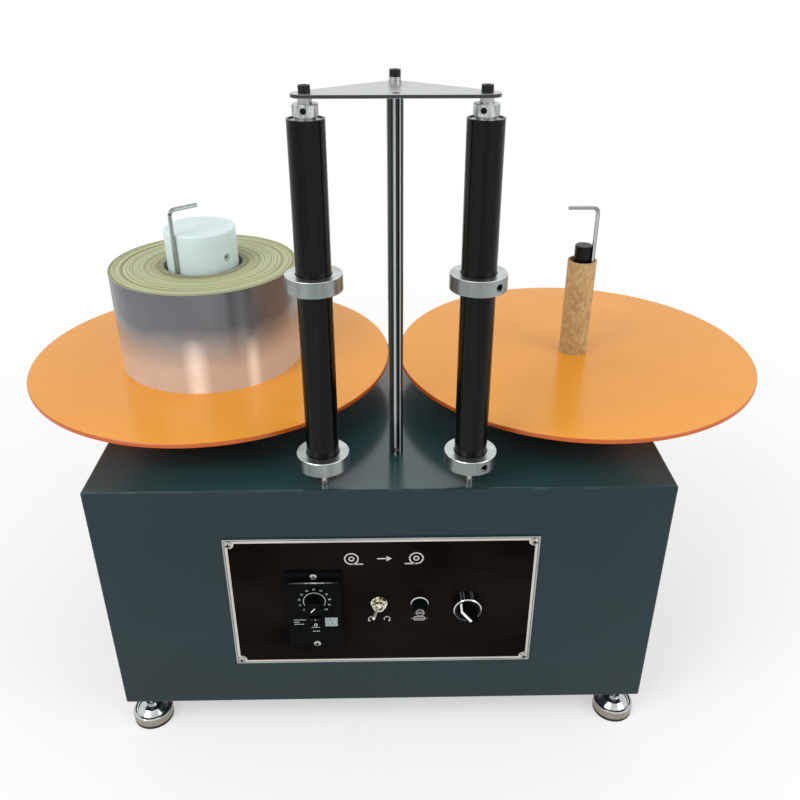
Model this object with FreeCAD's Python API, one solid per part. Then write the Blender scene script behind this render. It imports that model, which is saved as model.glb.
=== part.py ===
import FreeCAD, Part
import math
import os

# Bench label rewinder: two turntables on a sheet cabinet, two guide rollers and a post joined by a top
# plate, and a motor inside that drives the right turntable. Millimetres, +Z up, +X right, front at -Y.
# The origin lies on the floor, under the middle of the whole machine.

V = FreeCAD.Vector
ALONG_X, ALONG_Y, ALONG_Z = V(1, 0, 0), V(0, 1, 0), V(0, 0, 1)

# ---- Fits and clearances
FIT = 0.02            # radial, between pieces that stay together
RUN = 0.05            # radial, between a turning or sliding piece and its bore
GAP = 0.3             # between faces that pass each other
HOLE = 0.25           # radial, round a screw in a clearance hole
SAME = 1e-6           # lengths nearer than this are equal
HEX_CORNER = 30.0     # degrees from the middle of a hexagon's flat to its corner

# ---- Cabinet
CABINET_W = 600.0
CABINET_D = 350.0
CABINET_H = 296.5
SHEET = 2.0
FOLD_R = 2.5
FLANGE_W = 42.0       # inward return flanges at the bottom and the back
TOP_SHIFT = 16.0      # the cabinet's middle lies this far left of the middle of the turntables
COVER_INSET = 8.0     # rear cover, in from the cabinet's rear edges
COVER_R = 4.0

# ---- Levelling feet
FOOT_GAP = 42.0       # floor to the cabinet's underside
FOOT_IN_X = 22.2
FOOT_IN_Y = 20.0
FOOT_R = 23.0
PAD_H = 4.0
PAD_STEP = 0.2
CUP_H = 10.5
CUP_RIM = 1.5
DISH_R = 19.0
DISH_DROP = 1.2
DOME_RISE = 5.0
FOOT_HUB_R = 7.0
FOOT_HUB_H = 5.0
FOOT_TRAVEL = 10.0

# ---- Turntables and their spindles
TABLE_X = 218.2
TABLE_BACK = 229.8    # spindle axes, behind the cabinet's front face
TABLE_R = 211.6
TABLE_T = 5.0
TABLE_EDGE = 0.8
TABLE_GAP = 39.4      # cabinet top to the discs' underside
SPINDLE_R = 10.0
SPINDLE_TOP = 133.0   # above the discs
SPINDLE_END = 1.0     # chamfer on the spindle's end
CENTRE_HOLE_R = 1.5
CENTRE_HOLE_DEPTH = 6.0
SPINDLE_TAIL = 2.5    # spindle's end, below the collar or pulley on it
DISC_FLANGE_R = 45.0
DISC_FLANGE_T = 8.0
SPINDLE_BOSS_R = 14.0
DISC_SCREW_PCD = 66.0
DISC_SCREW_COUNT = 4
DISC_SCREW_GRIP = 3.5  # thread length inside the disc

# ---- Spindle bearings in flanged housings (bearing 20 x 47 x 14)
BEARING_R = 23.5
BEARING_T = 14.0
HOUSING_R = 30.0
HOUSING_UP = 16.0
HOUSING_DOWN = 52.0
HOUSING_FLANGE_R = 50.0
HOUSING_FLANGE_T = 8.0
HOUSING_WAIST_R = 19.0
HOUSING_SCREW_PCD = 82.0
HOUSING_SCREW_COUNT = 4

# ---- Belt drive and gear motor
PULLEY_LEVEL = 82.0   # cabinet top down to the pulleys' underside
PULLEY_H = 20.0
PULLEY_LIP = 1.5
PULLEY_LIP_RISE = 3.5
DRIVEN_R = 40.0
DRIVE_R = 20.0
PULLEY_HUB_R = 16.0
BELT_T = 2.5
BELT_W = 15.0
MOTOR_X = 60.0
MOTOR_SHAFT_R = 7.5
MOTOR_SHAFT_SUNK = 30.0
MOTOR_SHAFT_END = 2.0
BRACKET_DROP = 92.0   # cabinet top down to the bracket plate's upper face
BRACKET_SIZE = 122.0
BRACKET_T = 6.0
PILLAR_R = 7.0
PILLAR_IN = 11.0
GEARBOX_W = 90.0
GEARBOX_H = 65.0
GEARBOX_BOSS_R = 17.0
GEARBOX_BOSS_H = 5.0
GEARBOX_SCREW_SPAN = 73.5
MOTOR_R = 43.0
MOTOR_UP = 19.5       # motor's lower end, above the base plate
MOTOR_RIB = 2.0
MOTOR_RIB_COUNT = 24
MOTOR_BAND = 17.0     # plain bands above and below the ribs
SHAFT_COLLAR_R = 17.0
SHAFT_COLLAR_H = 12.0

# ---- Guide rollers
ROLLER_X = 73.1
ROLLER_BACK = 13.5
ROLLER_SHAFT_R = 6.0
ROLLER_SHOULDER = 10.0    # the thick part of the shaft starts this far above the cabinet
SEAT_R = 8.0              # flange on the shaft that carries the lower bearing
SEAT_T = 2.0
TUBE_R = 16.0
TUBE_WALL = 2.0
TUBE_BOTTOM = 23.5
TUBE_TOP = 355.0
ROLLER_BEARING_T = 8.0
ROLLER_BEARING_IN = 1.0
COLLAR_R = 26.0
COLLAR_H = 15.0
COLLAR_EDGE = 0.6
WIDTH_COLLAR_LEVEL = 208.5
TOP_COLLAR_R = 11.0
TOP_COLLAR_LEVEL = 357.0
TOP_COLLAR_H = 9.5
TOP_COLLAR_NECK_R = 8.5
SET_SCREW_R = 2.5
SET_SCREW_L = 5.0
SET_SCREW_SINK = 1.5
SET_SCREW_AF = 2.5
SET_SCREW_SOCKET = 2.5
# angles of the set screws round their collars, in degrees from +X
WIDTH_COLLAR_ANGLE = {"left": 130.0, "right": -50.5}
BASE_COLLAR_ANGLE = {"left": 110.0, "right": -62.9}
TOP_COLLAR_ANGLE = {"left": -93.7, "right": -108.8}

# ---- Back post and top plate
POST_BACK = 72.0
POST_R = 7.5
POST_HOLE_R = 3.5
POST_HOLE_LEVEL = 5.7
STUB_R = 4.0              # M8 ends of the post, the roller shafts and the feet
STUB_BELOW = 12.0
PLATE_TOP = 374.3
PLATE_T = 3.0
PLATE_CORNER_R = 11.5
PLATE_HOLE_R = 3.4
PLATE_HOLE_IN = 9.2       # hole in the middle of the plate, behind its front edge
POST_WASHER_R = 5.4
POST_WASHER_T = 4.5

# ---- Screws and nuts: shank radius, head radius, head height, socket across flats
M6_CAP = (3.0, 5.0, 6.0, 5.0)
M5_CAP = (2.5, 4.25, 5.0, 4.0)
PAN = (2.0, 3.9, 2.4)
PAN_CROWN_R = 2.3
M8_NUT = (13.0, 6.5)
M6_NUT = (10.0, 5.0)
CROSS_W = 0.9
CROSS_REACH = 3.5
CROSS_DEPTH = 1.2
PLATE_SCREW_L = 12.0
HOUSING_SCREW_L = 18.0
MOTOR_SCREW_L = 16.0
PAN_SCREW_L = 7.0

# ---- Label roll, cores and keys
ADAPTER_R = 40.0
ADAPTER_H = 157.0
ADAPTER_EDGE = 1.2
ADAPTER_ROOF = 3.0        # air above the spindle inside the adapter
GRUB_ANGLE = -36.3
GRUB_LEVEL = 128.5        # above the discs
ROLL_R = 105.5
ROLL_H = 115.0
ROLL_CORE_R = 50.0
ROLL_CORE_WALL = 5.5
SMALL_CORE_R = 16.5
SMALL_CORE_WALL = 2.0
SMALL_CORE_H = 115.0
KEY_AF = 4.0
KEY_BEND_R = 6.0
KEY_ARM = 35.5
# height of each key above its disc, its place round the spindle and the way its arm points
LEFT_KEY = {"height": 187.0, "angle": 239.0, "arm": 42.0}
RIGHT_KEY = {"height": 179.5, "angle": -35.0, "arm": 180.0}

# ---- Control panel; places are from the cabinet's middle and down from its top
PANEL_W = 330.0
PANEL_H = 175.0
PANEL_T = 2.0
PANEL_CORNER_R = 1.0
PANEL_DOWN = 146.3
PANEL_SCREW_IN = 6.2
WINDOW_IN = 20.0          # cabinet window behind the panel, in from the panel's edges

CONTROLLER_X = -72.6
CONTROLLER_DOWN = 153.5
CONTROLLER_W = 60.0
CONTROLLER_H = 105.0
CONTROLLER_FLANGE = 3.0
CONTROLLER_SCREW_SPAN = 95.0
CONTROLLER_FACE_H = 72.5
CONTROLLER_FACE_UP = 6.5  # middle of the raised face above the middle of the flange
CONTROLLER_FACE_T = 5.0
CONTROLLER_BODY_W = 54.0
CONTROLLER_BODY_H = 82.0
CONTROLLER_BODY_D = 62.0
CONTROLLER_ROUND = 1.0
KNOB_UP = 17.5
KNOB_R = 9.5
KNOB_TIP_R = 8.6
KNOB_H = 13.0
KNOB_SKIRT_H = 2.0
KNOB_FLUTES = 24
KNOB_FLUTE_R = 0.5
KNOB_SHAFT_R = 3.0
KNOB_SHAFT_L = 12.0
KNOB_MARK_W = 1.4
KNOB_MARK_REACH = 5.2     # slot's end that points, from the knob's axis
KNOB_MARK_BACK = 2.6      # and its other end, behind the axis
KNOB_MARK_DEPTH = 0.4
KNOB_MARK_ANGLE = 229.0   # where the mark points at rest, seen from the front
ROCKER_DOWN = 11.0
ROCKER_W = 12.0
ROCKER_H = 14.0
ROCKER_DEPTH = 6.0
ROCKER_PROUD = 1.5
ROCKER_TILT = 8.0
ROCKER_SWING = 0.8        # above and below the rocker, room for its corners
ROCKER_SINK = 3.5         # room behind it
ROCKER_PIN_R = 1.0
ROCKER_PIN_L = 1.5

TOGGLE_X = -3.8
SMALL_CONTROLS_DOWN = 146.5
BUSHING_R = 6.0
BUSHING_PROUD = 8.0
BUSHING_BORE_R = 4.0
TOGGLE_BODY = (28.0, 22.0, 17.0)   # wide, deep, high
TOGGLE_WASHER_R = 9.0
TOGGLE_WASHER_T = 1.0
TOGGLE_NUT_AF = 15.0
TOGGLE_NUT_T = 2.5
LEVER_PIVOT = 4.0         # pivot, in front of the panel
LEVER_L = 22.0
LEVER_ROOT_R = 1.2
LEVER_TIP_R = 1.8
LEVER_TILT = 16.0

FUSE_X = 40.0
FUSE_FLANGE_R = 9.8
FUSE_FLANGE_T = 4.2
FUSE_BODY_R = 6.2
FUSE_BODY_L = 34.0
FUSE_POCKET_R = 5.4
FUSE_POCKET_L = 9.0
FUSE_R = 2.6
FUSE_L = 20.0
FUSE_IN_CAP = 4.0
FUSE_CAP_R = 7.3
FUSE_CAP_TIP_R = 5.2
FUSE_CAP_L = 11.5
FUSE_PLUG_L = 7.0
FUSE_NUT_AF = 17.0
FUSE_NUT_T = 3.0
FUSE_SLOT_W = 1.2
FUSE_SLOT_DEPTH = 1.0

SELECTOR_X = 91.0
BEZEL_R = 15.0
BEZEL_PROUD = 14.0
BEZEL_LIP = 2.4
BARREL_R = 11.0
BARREL_L = 26.0
CONTACT_SIZE = 30.0
CONTACT_D = 24.0
HANDLE_FLOOR = 3.0        # rotor's underside, in front of the panel
HANDLE_PROUD = 12.5       # ridge, in front of the bezel
HANDLE_RIDGE_W = 7.0
HANDLE_RIDGE_FOOT_W = 11.0
HANDLE_EDGE_R = 0.9
HANDLE_SHAFT_R = 4.0
HANDLE_SHAFT_L = 16.0
HANDLE_ANGLE = 128.0      # where the ridge's pointer end is at rest, seen from the front

# ---- Power inlet on the rear cover (recessed three-pin inlet)
INLET_IN = 94.0           # in from the cabinet's right side
INLET_UP = 62.0           # above the cabinet's underside
INLET_FLANGE_W = 50.0
INLET_FLANGE_H = 27.0
INLET_FLANGE_T = 3.0
INLET_FLANGE_R = 9.0
INLET_BODY_W = 28.0
INLET_BODY_H = 20.6
INLET_BODY_D = 22.0
INLET_MOUTH_W = 24.0
INLET_MOUTH_H = 16.4
INLET_MOUTH_D = 17.0
INLET_MOUTH_R = 2.0
INLET_SCREW_SPAN = 40.0
PIN_W = 2.0
PIN_H = 4.0
PIN_L = 12.0
PIN_SPREAD = 7.0
PIN_RISE = 2.0

# ---- Louvre slots and cover screws
SLOT_W = 60.0
SLOT_H = 5.0
SLOT_END_R = 2.4
SLOT_PITCH = 13.0
SLOT_ROWS = 7
SLOT_COLUMN_X = (-110.0, 60.0)
SLOT_TOP_DOWN = 70.0
COVER_SCREW_COLUMNS = 4
COVER_SCREW_IN = 14.0
BASE_SCREW_COLUMNS = 3
BASE_SCREW_IN = 60.0

# ---- Places worked out from the sizes above
BEZEL_FRONT = PANEL_T + BEZEL_PROUD
FRONT_REACH = max(BEZEL_FRONT + HANDLE_PROUD, PANEL_T + LEVER_PIVOT + LEVER_L)
FRONT_Y = (FRONT_REACH - TABLE_BACK - TABLE_R) / 2
BACK_Y = FRONT_Y + CABINET_D
PANEL_Y = FRONT_Y - PANEL_T
CABINET_X = -TOP_SHIFT
LEFT_X = CABINET_X - CABINET_W / 2
RIGHT_X = CABINET_X + CABINET_W / 2
BOTTOM_Z = FOOT_GAP
TOP_Z = BOTTOM_Z + CABINET_H
ROOF_Z = TOP_Z - SHEET
FLOOR_Z = BOTTOM_Z + 2 * SHEET
TABLE_Y = FRONT_Y + TABLE_BACK
DISC_Z = TOP_Z + TABLE_GAP
DISC_TOP = DISC_Z + TABLE_T
ROLLER_Y = FRONT_Y + ROLLER_BACK
POST_Y = FRONT_Y + POST_BACK
PLATE_Z = TOP_Z + PLATE_TOP - PLATE_T
PULLEY_Z = TOP_Z - PULLEY_LEVEL
BRACKET_Z = TOP_Z - BRACKET_DROP - BRACKET_T
GEARBOX_Z = BRACKET_Z - GEARBOX_H
MOTOR_Z = FLOOR_Z + MOTOR_UP
PANEL_Z = TOP_Z - PANEL_DOWN
CONTROL_Z = TOP_Z - SMALL_CONTROLS_DOWN
CONTROLLER_Z = TOP_Z - CONTROLLER_DOWN
SIDES = {"left": -1, "right": 1}


# ---- Shapes that the pieces are made of
def block(x0, x1, y0, y1, z0, z1):
    return Part.makeBox(x1 - x0, y1 - y0, z1 - z0, V(x0, y0, z0))


def slab(cx, cz, width, height, y0, y1):
    """Upright block facing the front, centred at cx, cz."""
    return block(cx - width / 2, cx + width / 2, y0, y1, cz - height / 2, cz + height / 2)


def bar(radius, z0, z1, x, y):
    return Part.makeCylinder(radius, z1 - z0, V(x, y, z0))


def bar_y(radius, y0, y1, x, z):
    return Part.makeCylinder(radius, y1 - y0, V(x, y0, z), ALONG_Y)


def ring(outer, bore, z0, z1, x, y):
    return bar(outer, z0, z1, x, y).cut(bar(bore, z0, z1, x, y))


def ring_y(outer, bore, y0, y1, x, z):
    return bar_y(outer, y0, y1, x, z).cut(bar_y(bore, y0, y1, x, z))


def turned(profile, x, y):
    """Solid of revolution about a vertical axis; the profile is radius, height."""
    points = [V(x + r, y, z) for r, z in profile]
    face = Part.Face(Part.makePolygon(points + points[:1]))
    return face.revolve(V(x, y, 0), ALONG_Z, 360)


def turned_y(profile, x, z):
    """Solid of revolution about an axis along Y; the profile is radius, place along Y."""
    points = [V(x + r, y, z) for r, y in profile]
    face = Part.Face(Part.makePolygon(points + points[:1]))
    return face.revolve(V(x, 0, z), ALONG_Y, 360)


def edged_ring(outer, bore, z0, z1, x, y, edge):
    """Ring with its outer corners broken by a chamfer."""
    profile = [(bore, z0), (outer - edge, z0), (outer, z0 + edge),
               (outer, z1 - edge), (outer - edge, z1), (bore, z1)]
    return turned(profile, x, y)


def hex_points(across, phase):
    corner = across / math.sqrt(3)
    return [(corner * math.cos(math.radians(phase + 60 * k)),
             corner * math.sin(math.radians(phase + 60 * k))) for k in range(6)]


def hex_bar(across, z0, z1, x, y, phase=0.0):
    points = [V(x + dx, y + dy, z0) for dx, dy in hex_points(across, phase)]
    return Part.Face(Part.makePolygon(points + points[:1])).extrude(ALONG_Z * (z1 - z0))


def hex_bar_y(across, y0, y1, x, z):
    points = [V(x + dx, y0, z + dz) for dx, dz in hex_points(across, HEX_CORNER)]
    return Part.Face(Part.makePolygon(points + points[:1])).extrude(ALONG_Y * (y1 - y0))


def hex_nut(size, bore, z0, x, y):
    across, height = size
    return hex_bar(across, z0, z0 + height, x, y).cut(bar(bore, z0, z0 + height, x, y))


def fillet_along(shape, direction, radius):
    """Round the straight edges that run along one axis."""
    edges = [e for e in shape.Edges if abs(abs(e.tangentAt(e.FirstParameter).dot(direction)) - 1) < SAME]
    return shape.makeFillet(radius, edges)


def polar(radius, degrees):
    return radius * math.cos(math.radians(degrees)), radius * math.sin(math.radians(degrees))


def on_circle(pcd, count, x, y):
    """Screw places round a centre, the first one between the axes."""
    step = 360 / count
    places = [polar(pcd / 2, step / 2 + step * k) for k in range(count)]
    return [(x + dx, y + dy) for dx, dy in places]


def square(span_x, span_y, x, y):
    return [(x + i * span_x / 2, y + j * span_y / 2) for i in (-1, 1) for j in (-1, 1)]


def spread(low, high, count):
    return [low + (high - low) * k / (count - 1) for k in range(count)]


def cut_all(shape, tools):
    return shape.cut(Part.makeCompound(tools)) if tools else shape


def cap_screw(size, length, x, y, seat_z, up=True):
    """Socket head cap screw; the head lies on the seat, above it or below it."""
    shank_r, head_r, head_h, across = size
    sign = 1 if up else -1
    levels = sorted((seat_z, seat_z + sign * head_h))
    head = bar(head_r, levels[0], levels[1], x, y)
    socket = sorted((seat_z + sign * head_h, seat_z + sign * head_h / 2))
    head = head.cut(hex_bar(across, socket[0], socket[1], x, y))
    shank = sorted((seat_z, seat_z - sign * length))
    return head.fuse(bar(shank_r, shank[0], shank[1], x, y))


def pan_screw_y(x, z, seat_y, front):
    """Cross recess pan head screw along Y, with its head towards the front or the back."""
    shank_r, head_r, head_h = PAN
    sign = -1 if front else 1
    tip = seat_y - sign * PAN_SCREW_L
    top = seat_y + sign * head_h
    profile = [(0, tip), (shank_r, tip), (shank_r, seat_y), (head_r, seat_y),
               (head_r, seat_y + sign * head_h / 2), (PAN_CROWN_R, top), (0, top)]
    recess = sorted((top - sign * CROSS_DEPTH, top))
    arms = [slab(x, z, CROSS_REACH, CROSS_W, *recess), slab(x, z, CROSS_W, CROSS_REACH, *recess)]
    return cut_all(turned_y(profile, x, z), arms)


def pan_screw_up(x, y, seat_z):
    """Pan head screw with its head below the seat."""
    shank_r, head_r, head_h = PAN
    crown, tip = seat_z - head_h, seat_z + PAN_SCREW_L
    profile = [(0, crown), (PAN_CROWN_R, crown), (head_r, seat_z - head_h / 2), (head_r, seat_z),
               (shank_r, seat_z), (shank_r, tip), (0, tip)]
    return turned(profile, x, y)


def radial(radius, start, end, x, y, z, degrees):
    """Round bar that lies level and points away from a vertical axis."""
    dx, dy = polar(1, degrees)
    return Part.makeCylinder(radius, end - start, V(x + start * dx, y + start * dy, z), V(dx, dy, 0))


def set_screw(tip, length, x, y, z, degrees):
    """Socket set screw in a collar; tip is its inner end's distance from the axis."""
    dx, dy = polar(1, degrees)
    screw = radial(SET_SCREW_R - FIT, tip, tip + length, x, y, z, degrees)
    socket = hex_bar(SET_SCREW_AF, 0, SET_SCREW_SOCKET, 0, 0)
    socket.Placement = FreeCAD.Placement(
        V(x + (tip + length) * dx, y + (tip + length) * dy, z), FreeCAD.Rotation(ALONG_Z, V(-dx, -dy, 0)))
    return screw.cut(socket)


def rotated_y(shape, x, z, degrees):
    """Turn clockwise as seen from the front."""
    shape.rotate(V(x, 0, z), ALONG_Y, degrees)
    return shape


# ---- Places that several pieces share
def roller_x(side):
    return SIDES[side] * ROLLER_X


def table_x(side):
    return SIDES[side] * TABLE_X


def foot_places():
    xs = (LEFT_X + FOOT_IN_X, RIGHT_X - FOOT_IN_X)
    ys = (FRONT_Y + FOOT_IN_Y, BACK_Y - FOOT_IN_Y)
    return {"front_left": (xs[0], ys[0]), "front_right": (xs[1], ys[0]),
            "rear_left": (xs[0], ys[1]), "rear_right": (xs[1], ys[1])}


def housing_screw_places():
    return [p for s in SIDES for p in on_circle(HOUSING_SCREW_PCD, HOUSING_SCREW_COUNT, table_x(s), TABLE_Y)]


def gearbox_screw_places():
    return square(GEARBOX_SCREW_SPAN, GEARBOX_SCREW_SPAN, MOTOR_X, TABLE_Y)


def stub_places():
    return [(roller_x("left"), ROLLER_Y), (roller_x("right"), ROLLER_Y), (0.0, POST_Y)]


def panel_screw_places():
    return square(PANEL_W - 2 * PANEL_SCREW_IN, PANEL_H - 2 * PANEL_SCREW_IN, CABINET_X, PANEL_Z)


def controller_screw_places():
    x = CABINET_X + CONTROLLER_X
    return [(x, CONTROLLER_Z + s * CONTROLLER_SCREW_SPAN / 2) for s in (-1, 1)]


def inlet_place():
    return RIGHT_X - INLET_IN, BOTTOM_Z + INLET_UP


def inlet_screw_places():
    x, z = inlet_place()
    return [(x + s * INLET_SCREW_SPAN / 2, z) for s in (-1, 1)]


def cover_screw_places():
    inset = COVER_INSET + COVER_SCREW_IN
    xs = spread(LEFT_X + inset, RIGHT_X - inset, COVER_SCREW_COLUMNS)
    return [(x, z) for x in xs for z in (BOTTOM_Z + inset, TOP_Z - inset)]


def base_screw_places():
    xs = spread(LEFT_X + BASE_SCREW_IN, RIGHT_X - BASE_SCREW_IN, BASE_SCREW_COLUMNS)
    return [(x, y) for x in xs for y in (FRONT_Y + FLANGE_W / 2, BACK_Y - FLANGE_W / 2)]


# ---- Cabinet
def cabinet_shell():
    outer = block(LEFT_X, RIGHT_X, FRONT_Y, BACK_Y, BOTTOM_Z, TOP_Z)
    outer = outer.makeFillet(FOLD_R, outer.Edges)
    inner = block(LEFT_X + SHEET, RIGHT_X - SHEET, FRONT_Y + SHEET, BACK_Y - SHEET, BOTTOM_Z + SHEET, ROOF_Z)
    left, right = LEFT_X + FLANGE_W, RIGHT_X - FLANGE_W
    bottom = block(left, right, FRONT_Y + FLANGE_W, BACK_Y - FLANGE_W, BOTTOM_Z, BOTTOM_Z + SHEET)
    rear = block(left, right, BACK_Y - SHEET, BACK_Y, BOTTOM_Z + FLANGE_W, TOP_Z - FLANGE_W)
    window = slab(CABINET_X, PANEL_Z, PANEL_W - 2 * WINDOW_IN, PANEL_H - 2 * WINDOW_IN,
                  FRONT_Y, FRONT_Y + SHEET)
    tools = [inner, bottom, rear, window]
    tools += [bar(HOUSING_R + HOLE, ROOF_Z, TOP_Z, table_x(s), TABLE_Y) for s in SIDES]
    tools += [bar(M6_CAP[0] + HOLE, ROOF_Z, TOP_Z, x, y) for x, y in housing_screw_places()]
    tools += [bar(STUB_R + HOLE, ROOF_Z, TOP_Z, x, y) for x, y in stub_places()]
    tools += [bar(STUB_R + HOLE, BOTTOM_Z, FLOOR_Z, x, y) for x, y in foot_places().values()]
    tools += [bar(PAN[0] + HOLE, BOTTOM_Z, FLOOR_Z, x, y) for x, y in base_screw_places()]
    tools += [bar_y(PAN[0] + HOLE, FRONT_Y, FRONT_Y + SHEET, x, z) for x, z in panel_screw_places()]
    tools += [bar_y(PAN[0] + HOLE, BACK_Y - SHEET, BACK_Y, x, z) for x, z in cover_screw_places()]
    return [cut_all(outer, tools)]


def base_plate():
    inset = SHEET + GAP
    plate = block(LEFT_X + inset, RIGHT_X - inset, FRONT_Y + inset, BACK_Y - inset, BOTTOM_Z + SHEET, FLOOR_Z)
    tools = [bar(STUB_R + HOLE, BOTTOM_Z, FLOOR_Z, x, y) for x, y in foot_places().values()]
    tools += [bar(PAN[0] + FIT, BOTTOM_Z, FLOOR_Z, x, y) for x, y in base_screw_places()]
    return [cut_all(plate, tools)]


def rear_cover():
    height = CABINET_H - 2 * COVER_INSET
    plate = slab(CABINET_X, BOTTOM_Z + CABINET_H / 2, CABINET_W - 2 * COVER_INSET, height,
                 BACK_Y, BACK_Y + SHEET)
    plate = fillet_along(plate, ALONG_Y, COVER_R)
    tools = []
    for x in SLOT_COLUMN_X:
        for row in range(SLOT_ROWS):
            slot = slab(CABINET_X + x, TOP_Z - SLOT_TOP_DOWN - row * SLOT_PITCH, SLOT_W, SLOT_H,
                        BACK_Y, BACK_Y + SHEET)
            tools.append(fillet_along(slot, ALONG_Y, SLOT_END_R))
    x, z = inlet_place()
    tools.append(slab(x, z, INLET_BODY_W + 2 * HOLE, INLET_BODY_H + 2 * HOLE, BACK_Y, BACK_Y + SHEET))
    tools += [bar_y(PAN[0] + HOLE, BACK_Y, BACK_Y + SHEET, x, z) for x, z in cover_screw_places()]
    tools += [bar_y(PAN[0] + HOLE, BACK_Y, BACK_Y + SHEET, x, z) for x, z in inlet_screw_places()]
    return [cut_all(plate, tools)]


def cover_screws():
    screws = [pan_screw_y(x, z, BACK_Y + SHEET, False) for x, z in cover_screw_places()]
    screws += [pan_screw_y(x, z, BACK_Y + SHEET + INLET_FLANGE_T, False) for x, z in inlet_screw_places()]
    screws += [pan_screw_up(x, y, BOTTOM_Z) for x, y in base_screw_places()]
    return screws


def power_inlet():
    x, z = inlet_place()
    face = BACK_Y + SHEET + INLET_FLANGE_T
    flange = slab(x, z, INLET_FLANGE_W, INLET_FLANGE_H, BACK_Y + SHEET, face)
    flange = fillet_along(flange, ALONG_Y, INLET_FLANGE_R)
    body = slab(x, z, INLET_BODY_W, INLET_BODY_H, BACK_Y + SHEET - INLET_BODY_D, face)
    mouth = slab(x, z, INLET_MOUTH_W, INLET_MOUTH_H, face - INLET_MOUTH_D, face)
    mouth = fillet_along(mouth, ALONG_Y, INLET_MOUTH_R)
    holes = [bar_y(PAN[0] + HOLE, BACK_Y, face, sx, sz) for sx, sz in inlet_screw_places()]
    shell = cut_all(flange.fuse(body), [mouth] + holes)
    floor = face - INLET_MOUTH_D
    places = [(-PIN_SPREAD, -PIN_RISE), (0, PIN_RISE), (PIN_SPREAD, -PIN_RISE)]
    pins = [slab(x + dx, z + dz, PIN_W, PIN_H, floor, floor + PIN_L) for dx, dz in places]
    return [shell] + pins


def hex_nuts():
    nuts = [hex_nut(M8_NUT, STUB_R + FIT, ROOF_Z - M8_NUT[1], x, y) for x, y in stub_places()]
    for x, y in foot_places().values():
        nuts.append(hex_nut(M8_NUT, STUB_R + RUN, FLOOR_Z, x, y))
        nuts.append(hex_nut(M8_NUT, STUB_R + RUN, BOTTOM_Z - M8_NUT[1], x, y))
    for x, y in housing_screw_places():
        nuts.append(hex_nut(M6_NUT, M6_CAP[0] + FIT, ROOF_Z - M6_NUT[1], x, y))
    return nuts


def levelling_foot(place):
    """Rubber pad, and a plated cup with its stud."""
    x, y = foot_places()[place]
    pad = bar(FOOT_R - PAD_STEP, 0, PAD_H, x, y)
    top = PAD_H + CUP_H
    dome = top + DOME_RISE
    stud_top = FLOOR_Z + M8_NUT[1] + FOOT_TRAVEL + SHEET
    cup = turned([(0, PAD_H), (FOOT_R, PAD_H), (FOOT_R, top - CUP_RIM),
                  (FOOT_R - CUP_RIM / 3, top - CUP_RIM / 3), (FOOT_R - CUP_RIM, top), (DISH_R + CUP_RIM, top),
                  (DISH_R, top - DISH_DROP), (DISH_R - DISH_DROP, top - DISH_DROP),
                  (FOOT_HUB_R + DOME_RISE, dome - DISH_DROP), (FOOT_HUB_R, dome),
                  (FOOT_HUB_R, dome + FOOT_HUB_H), (STUB_R, dome + FOOT_HUB_H), (STUB_R, stud_top),
                  (0, stud_top)], x, y)
    return [pad, cup]


# ---- Control panel and what is on it
def control_panel():
    plate = slab(CABINET_X, PANEL_Z, PANEL_W, PANEL_H, PANEL_Y, FRONT_Y)
    plate = fillet_along(plate, ALONG_Y, PANEL_CORNER_R)
    tools = [bar_y(PAN[0] + HOLE, PANEL_Y, FRONT_Y, x, z) for x, z in panel_screw_places()]
    tools += [bar_y(PAN[0] + HOLE, PANEL_Y, FRONT_Y, x, z) for x, z in controller_screw_places()]
    tools.append(slab(CABINET_X + CONTROLLER_X, CONTROLLER_Z, CONTROLLER_BODY_W + 2 * HOLE,
                      CONTROLLER_BODY_H + 2 * HOLE, PANEL_Y, FRONT_Y))
    for x, radius in ((TOGGLE_X, BUSHING_R), (FUSE_X, FUSE_BODY_R), (SELECTOR_X, BARREL_R)):
        tools.append(bar_y(radius + HOLE, PANEL_Y, FRONT_Y, CABINET_X + x, CONTROL_Z))
    return [cut_all(plate, tools)]


def panel_screws():
    screws = [pan_screw_y(x, z, PANEL_Y, True) for x, z in panel_screw_places()]
    screws += [pan_screw_y(x, z, PANEL_Y - CONTROLLER_FLANGE, True) for x, z in controller_screw_places()]
    return screws


def controller_face():
    """Y of the raised face that carries the dial."""
    return PANEL_Y - CONTROLLER_FLANGE - CONTROLLER_FACE_T


def knob_place():
    return CABINET_X + CONTROLLER_X, CONTROLLER_Z + KNOB_UP


def rocker_place():
    return CABINET_X + CONTROLLER_X, CONTROLLER_Z - ROCKER_DOWN


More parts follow.
